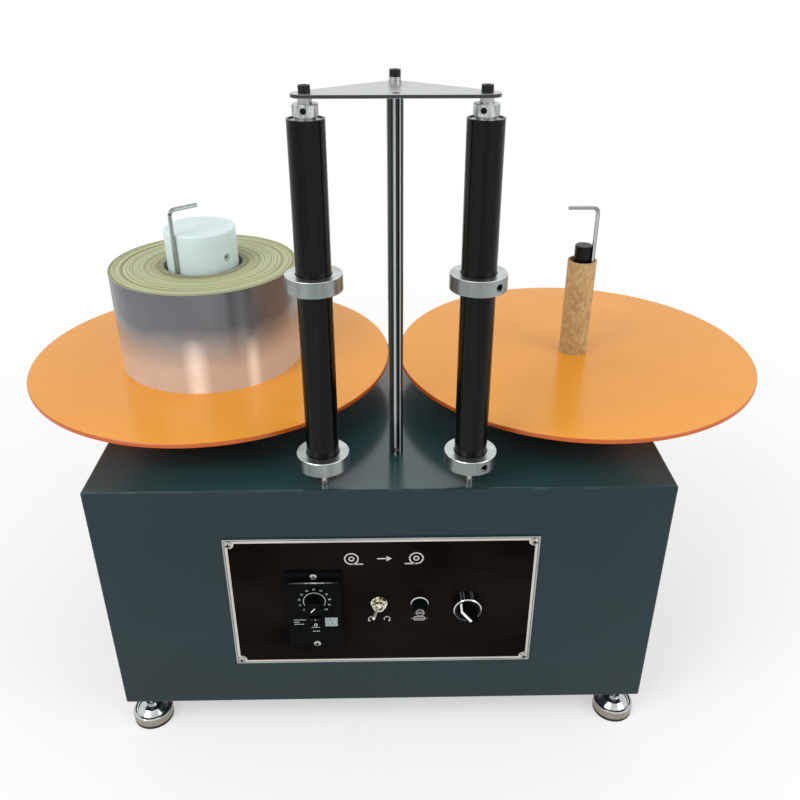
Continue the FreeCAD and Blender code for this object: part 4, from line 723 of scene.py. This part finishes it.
def moulded_plastic(name, dark, pale, rough, gloss):
    """Moulded plastic with a fine spark-eroded grain."""
    shade = Finish(name, {"Specular IOR Level": gloss})
    _, roughness = spark_grain(shade, rough)
    shade.surface(shade.mix(shade.noise(80, 2), dark, pale), roughness)
    return shade


def controller_plastic():
    """Black moulding whose raised face has a painted highlight along its upper edge, brightest at the middle.
    """
    shade = Finish("controller_plastic", {"Specular IOR Level": 0.03})
    centre, half = middle("speed_controller"), half_size("speed_controller")
    x, y, z = shade.axes()
    # a painted highlight along the raised face's upper edge, brightest at the middle
    edge = (abs(z - (centre.z + FACE_TOP_UP)) < FACE_HIGHLIGHT_W) * (y < centre.y - half.y + FACE_HIGHLIGHT_W)
    inward = shade.fade(abs(x - centre.x), half.x, 0)
    wear_and_painted_highlight = edge * inward * inward * shade.fade(shade.noise(260, 2), 0.25, 0.6)
    black = shade.mix(shade.noise(80, 2), rgb(4, 6, 8), rgb(10, 12, 15))
    _, roughness = spark_grain(shade, 0.28)
    shade.surface(shade.mix(wear_and_painted_highlight, black, rgb(206, 208, 208)), roughness)
    return shade


def fuse_holder_plastic():
    """Dark green-black moulding with a painted highlight on its upper front rim."""
    shade = Finish("fuse_holder_plastic", {"Specular IOR Level": 0.04})
    axis, half = middle("fuse_holder"), half_size("fuse_holder")
    _, y, z = shade.axes()
    # a painted highlight on the upper front rim
    rim = shade.radius(axis, FACING_FRONT) > half.x - FUSE_HIGHLIGHT_W
    upper = shade.fade(z, *[axis.z + up for up in FUSE_HIGHLIGHT_RISE])
    wear_and_painted_highlight = rim * upper * (y < axis.y - half.y + FUSE_BEVEL)
    grain, roughness = spark_grain(shade, 0.24)
    black = shade.mix(grain, rgb(4, 9, 8), rgb(10, 17, 15))
    shade.surface(shade.mix(wear_and_painted_highlight, black, rgb(206, 212, 210)), roughness)
    return shade


def selector_handle_plastic():
    """Black moulded handle with a white line down its end and along its top."""
    shade = Finish("selector_handle_plastic", {"Specular IOR Level": 0.04})
    axis = middle("selector_handle")
    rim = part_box("selector_handle")[0].y + HANDLE_RIDGE
    way = math.radians(HANDLE_ANGLE)
    x, y, z = shade.axes()
    along = (x - axis.x) * math.cos(way) + (z - axis.z) * math.sin(way)
    across = (z - axis.z) * math.cos(way) - (x - axis.x) * math.sin(way)
    line = (abs(across) < HANDLE_LINE_W / 2) * (along > HANDLE_LINE_END) * (y < rim - SKIN)
    grain, roughness = spark_grain(shade, 0.26, 0.012 * MM)
    black = shade.mix(grain, rgb(3, 3, 4), rgb(9, 9, 10))
    shade.surface(shade.mix(line, black, rgb(248, 248, 246)), roughness + line * 0.1)
    return shade


def toggle_metal():
    """Nickel bushing on a dark red moulded switch body."""
    shade = Finish("toggle_metal", {})
    _, y, _ = shade.axes()
    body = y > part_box("control_panel")[1].y + SKIN
    stain = shade.noise(300, 3)
    nickel = shade.mix(stain, rgb(186, 180, 162), rgb(226, 220, 204))
    shade.surface(shade.mix(body, nickel, rgb(74, 22, 18)), body * 0.25 + stain * 0.12 + 0.14, 1 - body)
    shade.relief(shade.noise(1300, 2), 0.01 * MM)
    return shade


def selector_metal():
    """Dark chrome bezel with a bright lip and two bright streaks that are painted highlights; behind the
    panel it is grey moulding.
    """
    shade = Finish("selector_metal", {"Specular IOR Level": 0.3})
    x, y, z = shade.axes()
    axis = middle("selector_handle")
    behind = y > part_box("control_panel")[0].y
    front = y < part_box("selector_switch")[0].y + BEZEL_LIP_D
    angle = z.math("ARCTAN2", z - axis.z, x - axis.x)
    # the two streaks are painted highlights; the lip is bright chrome
    lip_and_painted_streaks = (shade.stripes(angle, BEZEL_PAINTED_HIGHLIGHTS, full=0.5) + front).least(1)
    bright = (shade.radius(axis, FACING_FRONT) > BEZEL_LIP_R) * lip_and_painted_streaks * (1 - behind)
    grain = shade.noise(900, 2)
    gloss = shade.mix(grain, rgb(8, 8, 9), rgb(18, 18, 20))
    colour = shade.mix(bright, shade.mix(behind, gloss, rgb(62, 66, 70)), rgb(214, 216, 220))
    shade.surface(colour, behind * 0.3 + grain * 0.06 + 0.08, bright)
    return shade


def inlet_moulding():
    """Black moulded power inlet with brass pins."""
    shade = Finish("inlet_moulding", {})
    x, y, z = shade.axes()
    axis = middle("power_inlet")
    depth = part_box("power_inlet")[1].y - INLET_DEPTH
    pin = (abs(x - axis.x) < INLET_PINS[0]) * (abs(z - axis.z) < INLET_PINS[1]) * (y > depth)
    grain = shade.noise(1300, 2)
    black = shade.mix(grain, rgb(16, 16, 17), rgb(30, 30, 31))
    shade.surface(shade.mix(pin, black, rgb(206, 170, 92)), grain * 0.15 + 0.35, pin)
    shade.relief(grain, 0.015 * MM)
    return shade


def fuse_glass():
    """Glass tube fuse with nickel caps at its ends."""
    shade = Finish("fuse_glass", {})
    _, y, _ = shade.axes()
    cap = shade.fade(abs(y - middle("fuse_link").y), *FUSE_CAPS_FROM)
    glass = shade.mix(cap, rgb(196, 214, 210), rgb(200, 198, 190))
    shade.surface(glass, shade.noise(700, 2) * 0.15 + 0.08, cap)
    return shade


def cast_metal(name, dark, pale, rough):
    """Grey casting with a coarse skin."""
    shade = Finish(name, {"Metallic": 0.6})
    skin = shade.noise(420, 4)
    shade.surface(shade.mix(shade.noise(50, 3), dark, pale), skin * 0.2 + rough)
    shade.relief(skin, 0.06 * MM)
    return shade


def belt_rubber():
    """Ribbed black belt with a dusty back."""
    shade = Finish("belt_rubber", {})
    dust = shade.noise(240, 4)
    shade.surface(shade.mix(dust, rgb(16, 16, 16), rgb(48, 46, 44)), dust * 0.2 + 0.65)
    shade.relief(shade.noise(1200, 2), 0.03 * MM)
    return shade


# ---- Meshes
def new_piece(name, mesh, finishes, body, smooth_below=SMOOTH_BELOW):
    """Turn a bmesh into an object that rides on a body."""
    data = bpy.data.meshes.new(name)
    mesh.to_mesh(data)
    mesh.free()
    data.shade_smooth()
    data.set_sharp_from_angle(angle=math.radians(smooth_below))
    piece = bpy.data.objects.new(name, data)
    bpy.context.scene.collection.objects.link(piece)
    for finish in finishes:
        data.materials.append(finish.material)
    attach(piece, body)
    return piece


def printed(name, mesh, finish, body="cabinet"):
    """Add a piece of print."""
    new_piece(name, mesh, [finish], body)


def spread(low, high, count):
    """Evenly spaced values from low to high."""
    return [low + (high - low) * k / (count - 1) for k in range(count)]


def on_dial(x, z, radius, degrees):
    """Point round x, z at an angle seen from the front."""
    return x + radius * math.cos(math.radians(degrees)), z + radius * math.sin(math.radians(degrees))


def arc(x, z, radius, start, end, steps):
    return [on_dial(x, z, radius, a) for a in spread(start, end, steps)]


def stroke(points, width):
    """Quads of a line of even width along the points; it closes when the ends meet."""
    closed = math.dist(points[0], points[-1]) < SAME_POINT
    last = len(points) - 1
    sides = []
    for k, (x, z) in enumerate(points):
        before = points[last - 1] if closed and k == 0 else points[max(k - 1, 0)]
        after = points[1] if closed and k == last else points[min(k + 1, last)]
        dx, dz = after[0] - before[0], after[1] - before[1]
        half = width / 2 / math.hypot(dx, dz)
        sides.append(((x - dz * half, z + dx * half), (x + dz * half, z - dx * half)))
    return [(a[0], a[1], b[1], b[0]) for a, b in zip(sides, sides[1:])]


def ring(x, z, radius, width, steps=49):
    """Stroke that runs all the way round."""
    return stroke(arc(x, z, radius, 0, 360, steps), width)


def arrow_head(tip, degrees, size):
    """Triangle that points along an angle."""
    back = [on_dial(*tip, size, degrees + 180 + turn) for turn in (-ARROW_HALF_ANGLE, ARROW_HALF_ANGLE)]
    return [(tip, *back)]


def rectangle(x0, x1, z0, z1):
    return [((x0, z0), (x1, z0), (x1, z1), (x0, z1))]


def raised(shapes, y, height):
    """Thin solid that faces the front, from outlines of x and z."""
    mesh = bmesh.new()
    for shape in shapes:
        mesh.faces.new([mesh.verts.new((x, y, z)) for x, z in shape])
    bmesh.ops.remove_doubles(mesh, verts=mesh.verts, dist=WELD)
    added = bmesh.ops.extrude_face_region(mesh, geom=mesh.faces[:])["geom"]
    moved = [v for v in added if isinstance(v, bmesh.types.BMVert)]
    bmesh.ops.translate(mesh, verts=moved, vec=(0, FRONT * height, 0))
    bmesh.ops.recalc_face_normals(mesh, faces=mesh.faces)
    return mesh


# ---- Control panel pieces
def panel_field(finish):
    """Dark field inside the bright border; its corners give way to the screws."""
    low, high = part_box("control_panel")
    inset = PANEL_SCREW_IN
    reach = math.degrees(math.asin((PANEL_SCREW_IN - PANEL_BORDER) / NOTCH_R))
    centres = [(low.x + inset, low.z + inset), (high.x - inset, low.z + inset),
               (high.x - inset, high.z - inset), (low.x + inset, high.z - inset)]
    outline = []
    for k, (x, z) in enumerate(centres):
        outline += arc(x, z, NOTCH_R, 90 + reach + 90 * k, -reach + 90 * k, steps=14)
    printed("panel_field", raised([outline], low.y, PRINT_T), finish)


def roll_sign(x, z, side):
    """A roll with its web leaving along the bottom."""
    core, start, end = ROLL_SIGN
    lines = ring(x, z, SIGN_R, SIGN_LINE) + ring(x, z, SIGN_R * core, SIGN_LINE, steps=33)
    foot = z - SIGN_R
    return lines + rectangle(*sorted((x + side * SIGN_R * start, x + side * SIGN_R * end)),
                             foot - SIGN_LINE / 2, foot + SIGN_LINE / 2)


def turn_sign(x, z, start, end):
    """Round arrow that says which way the turntable goes."""
    way = end + math.copysign(90, end - start)
    beyond, length = TURN_SIGN_HEAD
    tip = on_dial(*on_dial(x, z, TURN_SIGN_R, end), TURN_SIGN_R * beyond, way)
    head = arrow_head(tip, way, TURN_SIGN_R * length)
    return stroke(arc(x, z, TURN_SIGN_R, start, end, steps=28), SMALL_LINE) + head


def fuse_sign(x, z):
    """Box with a wire through it."""
    half_w, half_h = FUSE_SIGN_W / 2, FUSE_SIGN_H / 2
    reach, thin = FUSE_WIRE
    lines = stroke([(x - half_w * reach, z), (x + half_w * reach, z)], SMALL_LINE * thin)
    for level in (-half_h, half_h):
        lines += rectangle(x - half_w, x + half_w, z + level - SMALL_LINE / 2, z + level + SMALL_LINE / 2)
    for end in (-half_w, half_w):
        lines += rectangle(x + end - SMALL_LINE / 2, x + end + SMALL_LINE / 2, z - half_h, z + half_h)
    return lines


def panel_signs(finish):
    """Silver signs: roll, arrow, roll along the top, and one under the toggle and the fuse."""
    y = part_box("control_panel")[0].y + FRONT * PRINT_T
    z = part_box("cabinet_shell")[1].z - SIGN_DOWN
    first, second, third = [middle("cabinet_shell").x + x for x in SIGN_X]
    signs = {"sign_full_roll": roll_sign(first, z, 1), "sign_new_roll": roll_sign(third, z, -1)}
    end, tip, length = ARROW_SIGN
    shaft = rectangle(second - SIGN_R, second + SIGN_R * end, z - SIGN_LINE / 2, z + SIGN_LINE / 2)
    signs["sign_arrow"] = shaft + arrow_head((second + SIGN_R * tip, z), 0, SIGN_R * length)
    toggle, fuse = middle("toggle_switch"), middle("fuse_holder")
    level = toggle.z - SMALL_SIGN_DROP
    signs["sign_forward"] = turn_sign(toggle.x - TURN_SIGN_APART / 2, level, *TURN_SIGN_ENDS)
    signs["sign_reverse"] = turn_sign(toggle.x + TURN_SIGN_APART / 2, level, *TURN_SIGN_ENDS[::-1])
    signs["sign_fuse"] = fuse_sign(fuse.x, level)
    for name, shapes in signs.items():
        printed(name, raised_apart(shapes, y, INK_T), finish)


def raised_apart(shapes, y, height):
    """Thin solid from outlines that may overlap; each outline stays a solid of its own."""
    whole = bmesh.new()
    for shape in shapes:
        part = raised([shape], y, height)
        data = bpy.data.meshes.new("part")
        part.to_mesh(data)
        part.free()
        whole.from_mesh(data)
        bpy.data.meshes.remove(data)
    return whole


# ---- Speed controller pieces
def dial_numbers(knob, y):
    """Plain numbers round the dial, 0 to 100."""
    whole = bmesh.new()
    for number, degrees in enumerate(spread(*NUMBER_ENDS, NUMBER_COUNT)):
        text = bpy.data.curves.new("number", "FONT")
        text.body = str(number * NUMBER_STEP)
        text.size = NUMBER_SIZE
        text.extrude = INK_T / 2
        text.align_x = "CENTER"
        text.align_y = "CENTER"
        holder = bpy.data.objects.new("number", text)
        x, z = on_dial(knob.x, knob.z, NUMBER_R, degrees)
        data = bpy.data.meshes.new_from_object(holder)
        for vertex in data.vertices:
            across, up, out = vertex.co
            vertex.co = (x + across, y - out - INK_T / 2, z + up)
        whole.from_mesh(data)
        bpy.data.meshes.remove(data)
        bpy.data.objects.remove(holder)
        bpy.data.curves.remove(text)
    return whole


def dashes(knob):
    """Rows of plain dashes beside and below the rocker, where small print would be."""
    pick = random.Random(DASH_SEED)
    shapes = []
    for start, drop, length in DASH_ROWS:
        top = knob.z - drop * MM
        place = start
        while place < start + length:
            end = min(place + pick.uniform(*DASH_L), start + length)
            shapes += rectangle(knob.x + place * MM, knob.x + end * MM, top - DASH_H, top)
            place = end + DASH_GAP
    return shapes


def dial_print(finish, paper):
    """Arc, numbers and dashes on the dial, and a small blank sticker at the rocker's right."""
    knob = middle("speed_knob")
    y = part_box("speed_controller")[0].y
    line = stroke(arc(knob.x, knob.z, DIAL_ARC_R, *DIAL_ARC_ENDS, steps=60), DIAL_LINE)
    printed("dial_arc", raised(line, y, INK_T), finish)
    printed("dial_numbers", dial_numbers(knob, y), finish)
    printed("dial_dashes", raised(dashes(knob), y, INK_T), finish)
    sticker = rectangle(knob.x + STICKER_X[0], knob.x + STICKER_X[1],
                        knob.z - STICKER_DOWN[1], knob.z - STICKER_DOWN[0])
    printed("dial_sticker", raised(sticker, y, PRINT_T), paper)


def knob_pointer(finish):
    """White paint in the knob's slot."""
    knob = middle("speed_knob")
    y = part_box("speed_knob")[0].y + POINTER_SUNK
    ends = [on_dial(knob.x, knob.z, r, POINTER_ANGLE) for r in POINTER_ENDS]
    paint = raised(stroke(ends, POINTER_W), y, POINTER_SUNK * POINTER_FILL)
    printed("knob_pointer", paint, finish, "speed_knob")


def rocker_marks(finish):
    """A stroke on the rocker's upper face and a ring on its lower face."""
    x = middle("speed_knob").x
    z = middle("speed_knob").z - ROCKER_BELOW_KNOB
    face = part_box("speed_controller")[0].y
    pivot = Vector((x, face + ROCKER_PIVOT, z))
    tilt = Matrix.Rotation(ROCKER_TILT, 3, "X")
    upper = rectangle(x - ROCKER_LINE / 2, x + ROCKER_LINE / 2,
                      z + ROCKER_MARK_UP - ROCKER_MARK_R, z + ROCKER_MARK_UP + ROCKER_MARK_R)
    lower = ring(x, z - ROCKER_MARK_UP, ROCKER_MARK_R, ROCKER_LINE, steps=33)
    for name, shapes in (("rocker_on_mark", upper), ("rocker_off_mark", lower)):
        mesh = raised(shapes, face, INK_T)
        for vertex in mesh.verts:
            vertex.co.y += FRONT * ROCKER_PROUD * abs(vertex.co.z - z) / ROCKER_HALF_H
            vertex.co = pivot + tilt @ (vertex.co - pivot)
        printed(name, mesh, finish, "rocker")


# ---- Fuse cap piece
def fuse_cap_insert(finish):
    """Bright ring let into the fuse cap's end, with a bar on each side of the slot."""
    axis = middle("fuse_cap")
    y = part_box("fuse_cap")[0].y
    outer, inner = CAP_RING_R
    shapes = ring(axis.x, axis.z, (outer + inner) / 2, outer - inner)
    half = inner * CAP_BAR_HALF_L
    for level in (-1, 1):
        edges = sorted(level * e for e in (CAP_SLOT_HALF_W, CAP_SLOT_HALF_W + CAP_BAR_W))
        shapes += rectangle(axis.x - half, axis.x + half, axis.z + edges[0], axis.z + edges[1])
    insert = raised_apart(shapes, y, CAP_INSERT_T)
    new_piece("fuse_cap_insert", insert, [finish], "fuse_cap")


# ---- Label roll
def wound_web(face, edges):
    """Wound label web: laps stand proud at its end, and the last one stops at the back."""
    low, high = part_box("label_web")
    axis = (low + high) / 2
    core, outer = half_size("label_core").x + CORE_FIT, half_size("label_web").x
    pick = random.Random(ROLL_SEED)
    limits = sorted([core, outer] + [pick.uniform(core, outer) for _ in range(ROLL_BANDS - 1)])
    bands = [(r0, r1, pick.uniform(0, ROLL_UNEVEN), pick.uniform(0, 2 * math.pi))
             for r0, r1 in zip(limits, limits[1:])]
    mesh = bmesh.new()
    columns = []
    for turn in spread(0, 1, ROLL_STEPS + 1):
        angle = math.pi / 2 + 2 * math.pi * turn
        points = []
        for r0, r1, depth, phase in bands:
            drop = depth * (1 - ROLL_WAVE + ROLL_WAVE * math.sin(angle * 2 + phase))
            edge = r1 - ROLL_LAP * (1 - turn) if r1 == outer else r1
            points += [(r0, high.z - drop), (edge, high.z - drop)]
        points += [(points[-1][0], low.z), (core, low.z)]
        columns.append([mesh.verts.new((axis.x + r * math.cos(angle), axis.y + r * math.sin(angle), z))
                        for r, z in points])
    side = 2 * len(bands) - 1
    for first, second in zip(columns, columns[1:] + columns[:1]):
        for k in range(len(first)):
            after = (k + 1) % len(first)
            quad = mesh.faces.new([first[k], second[k], second[after], first[after]])
            quad.material_index = 0 if k == side else 1
    bmesh.ops.remove_doubles(mesh, verts=mesh.verts, dist=ROLL_WELD)
    bmesh.ops.recalc_face_normals(mesh, faces=mesh.faces)
    roll = new_piece("wound_web", mesh, [face, edges], "label_roll")
    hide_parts("label_web")


# ---- Rear cover
def louvre_hoods(finish):
    """Hoods pressed outwards above the slots of the rear cover."""
    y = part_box("rear_cover")[1].y
    mesh = bmesh.new()
    across, down_steps = LOUVRE_STEPS
    for x in LOUVRE_COLUMNS:
        for row in range(LOUVRE_ROWS):
            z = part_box("cabinet_shell")[1].z - LOUVRE_TOP_DOWN - row * LOUVRE_PITCH
            rows = []
            for down in spread(0, 1, down_steps):
                level = z + LOUVRE_RISE - (LOUVRE_RISE + LOUVRE_DROP) * down
                line = []
                for u in spread(-1, 1, across):
                    swell = LOUVRE_PROUD * math.sin(down * math.pi / 2) * (1 - u ** LOUVRE_SQUARE)
                    line.append(mesh.verts.new((x + u * LOUVRE_HALF_W, y + BACK * swell, level)))
                rows.append(line)
            for upper, lower in zip(rows, rows[1:]):
                for k in range(len(upper) - 1):
                    mesh.faces.new([upper[k], lower[k], lower[k + 1], upper[k + 1]])
    bmesh.ops.recalc_face_normals(mesh, faces=mesh.faces)
    bmesh.ops.solidify(mesh, geom=mesh.faces[:], thickness=LOUVRE_T)
    new_piece("louvre_hoods", mesh, [finish], "cabinet", LOUVRE_SMOOTH)


# ---- Studio
def backdrop():
    """Pale floor that keeps the machine's shadow."""
    mesh = bmesh.new()
    bmesh.ops.create_grid(mesh, x_segments=1, y_segments=1, size=FLOOR_SIZE / 2)
    data = bpy.data.meshes.new("studio_floor")
    mesh.to_mesh(data)
    mesh.free()
    floor = bpy.data.objects.new("studio_floor", data)
    bpy.context.scene.collection.objects.link(floor)
    paint = Finish("studio_floor", {"Roughness": 0.9, "Specular IOR Level": 0.1})
    cloud = paint.noise(3, 2)
    paint.feed("Base Color", paint.mix(cloud, rgb(248, 248, 248), rgb(252, 252, 252)))
    white = Value(paint, paint.tree.nodes.new("ShaderNodeEmission").outputs[0])
    seen = paint.node("ShaderNodeLightPath", {}, {}, "Is Camera Ray")
    mirrored = paint.node("ShaderNodeLightPath", {}, {}, "Is Glossy Ray")
    near, far = FLOOR_LIFT
    distance = paint.fade(paint.radius((0, 0, 0)), *FLOOR_LIFT_R)
    lift = (seen + mirrored) * (distance * (far - near) + near)
    plain = Value(paint, paint.shader.outputs[0])
    both = paint.node("ShaderNodeMixShader", {}, {0: lift, 1: plain, 2: white})
    paint.tree.links.new(both.socket, paint.tree.nodes["Material Output"].inputs["Surface"])
    data.materials.append(paint.material)


def white_world():
    """White for the camera and in reflections, and a plain level of light on surfaces."""
    world = bpy.data.worlds.new("studio")
    world.use_nodes = True
    bpy.context.scene.world = world
    nodes, links = world.node_tree.nodes, world.node_tree.links
    path = nodes.new("ShaderNodeLightPath")
    level = nodes.new("ShaderNodeMapRange")
    level.inputs["To Min"].default_value = 1.0
    level.inputs["To Max"].default_value = WORLD_LIGHT
    links.new(path.outputs["Is Diffuse Ray"], level.inputs["Value"])
    links.new(level.outputs[0], nodes["Background"].inputs["Strength"])
    nodes["Background"].inputs["Color"].default_value = (1, 1, 1, 1)


def softbox(name, place, size, watts):
    """Square area lamp that looks at the machine."""
    light = bpy.data.lights.new(name, "AREA")
    light.size = size
    light.energy = watts
    lamp = bpy.data.objects.new(name, light)
    lamp.location = place
    lamp.rotation_euler = (LAMPS_AIM - Vector(place)).to_track_quat("-Z", "Y").to_euler()
    bpy.context.scene.collection.objects.link(lamp)


def camera():
    """Camera that looks down at the machine's front, and colours shown as they are."""
    data = bpy.data.cameras.new("camera")
    data.lens = CAMERA_LENS
    data.sensor_width = CAMERA_SENSOR
    data.clip_end = CAMERA_FAR
    holder = bpy.data.objects.new("camera", data)
    low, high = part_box("cabinet_shell")
    holder.location = Vector(((low.x + high.x) / 2, low.y, high.z)) + CAMERA_FROM_CABINET
    holder.rotation_euler = CAMERA_FORWARD.to_track_quat("-Z", "Y").to_euler()
    bpy.context.scene.collection.objects.link(holder)
    bpy.context.scene.camera = holder
    bpy.context.scene.view_settings.view_transform = "Standard"


def dress_collars():
    """The rollers' collars one by one, and the two small ones above them together."""
    # side tones, painted duller than the ends as painted shade
    tones = rgb(112, 120, 120), rgb(156, 164, 162)
    for name, angle in SET_SCREWS.items():
        metal = collar_aluminium(name + "_metal", [(middle(name), angle)], (SET_SCREW_R, GLINT_R),
                                 half_size(name).x, tones, streaks=60)
        dress(metal, name)
    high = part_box("top_shaft_collars")[1]
    screws = []
    for name, angle in TOP_SET_SCREWS.items():
        axis = middle(name)
        screws.append((Vector((axis.x, axis.y, high.z - TOP_COLLAR_SCREW_DOWN)), angle))
    outer = high.x - screws[1][0].x
    tones = rgb(104, 112, 112), rgb(226, 232, 230)
    metal = collar_aluminium("top_collar_metal", screws, (TOP_SET_SCREW_R, 0), outer, tones, streaks=260)
    dress(metal, "top_shaft_collars")


def dress_nodes():
    """Give every CAD node its finish."""
    paint = cabinet_paint()
    dress(paint, "cabinet_shell", "base_plate", "rear_cover")
    dress(panel_plate(), "control_panel")
    dress(screw_heads(), "panel_screws")
    steel = turned_metal("bright_steel", rgb(128, 129, 128), rgb(206, 206, 204), rough=0.1)
    dress(steel, "cover_screws", "hex_nuts", "m6_screws", "left_disc_screws", "right_disc_screws",
          "post_washer", "motor_shaft", "left_shaft_collar", "left_spindle", "roller_shafts", "adapter_screw")
    for node in ("left_hex_key", "right_hex_key"):
        dress(key_steel(node), node)
    dress(turned_metal("bearing_steel", rgb(120, 122, 124), rgb(190, 192, 194), rough=0.2),
          "spindle_bearings", "roller_bearings")
    dress(polished_post(), "back_post")
    dress(satin_plate(), "top_plate", "motor_bracket")
    dress(black_oxide(), "plate_screws")
    dress(black_spindle(), "right_spindle")
    dress(black_tube(), "left_roller_tube", "right_roller_tube")
    dress_collars()
    for node in ("left_turntable", "right_turntable"):
        dress(orange_board(node), node)
    dress(board_tube("grey_board", "label_core", rgb(122, 120, 98), rgb(166, 163, 140)), "label_core")
    dress(board_tube("kraft_board", "right_core", rgb(130, 98, 56), rgb(234, 202, 148)), "right_core")
    dress(white_nylon(), "core_adapter")
    dress(moulded_plastic("black_moulding", rgb(4, 6, 8), rgb(10, 12, 15), rough=0.28, gloss=0.03),
          "speed_knob", "rocker")
    dress(controller_plastic(), "speed_controller")
    dress(moulded_plastic("green_black_moulding", rgb(3, 9, 8), rgb(10, 20, 17), rough=0.2, gloss=0.06),
          "fuse_cap")
    dress(fuse_holder_plastic(), "fuse_holder")
    dress(selector_handle_plastic(), "selector_handle")
    dress(toggle_metal(), "toggle_switch")
    dress(turned_metal("lever_chrome", rgb(226, 222, 210), rgb(252, 250, 244), rough=0.45), "toggle_lever")
    dress(warm_nickel(), "panel_nuts")
    dress(selector_metal(), "selector_switch")
    dress(inlet_moulding(), "power_inlet")
    dress(fuse_glass(), "fuse_link")
    dress(cast_metal("cast_housing", rgb(92, 94, 96), rgb(142, 144, 146), rough=0.4),
          "bearing_housings", "gearbox", "driven_pulley", "motor_pulley")
    dress(cast_metal("motor_paint", rgb(52, 60, 66), rgb(74, 82, 88), rough=0.35), "motor")
    dress(belt_rubber(), "drive_belt")
    dress(foot_metal(), "foot_front_left", "foot_front_right", "foot_rear_left", "foot_rear_right")
    return paint


def add_pieces(paint):
    """Pieces that the frame leaves out, each riding on its body."""
    fine = {"scale": 1800, "detail": 2, "rough": 0.4}
    silver = ink("panel_silver_ink", rgb(166, 158, 150), rgb(210, 203, 196), **fine)
    dial = ink("dial_ink", rgb(150, 162, 162), rgb(202, 212, 212), **fine)
    white = ink("white_fill", rgb(232, 232, 230), rgb(250, 250, 248), scale=900, detail=3, rough=0.35)
    panel_field(panel_ink())
    panel_signs(silver)
    dial_print(dial, sticker_paper())
    rocker_marks(white)
    knob_pointer(white)
    fuse_cap_insert(turned_metal("insert_steel", rgb(150, 150, 148), rgb(206, 206, 204), rough=0.2))
    wound_web(label_face(), label_edges())
    louvre_hoods(paint)


camera()
white_world()
backdrop()
for lamp, (place, size, watts) in LAMPS.items():
    softbox(lamp, place, size, watts)
add_pieces(dress_nodes())
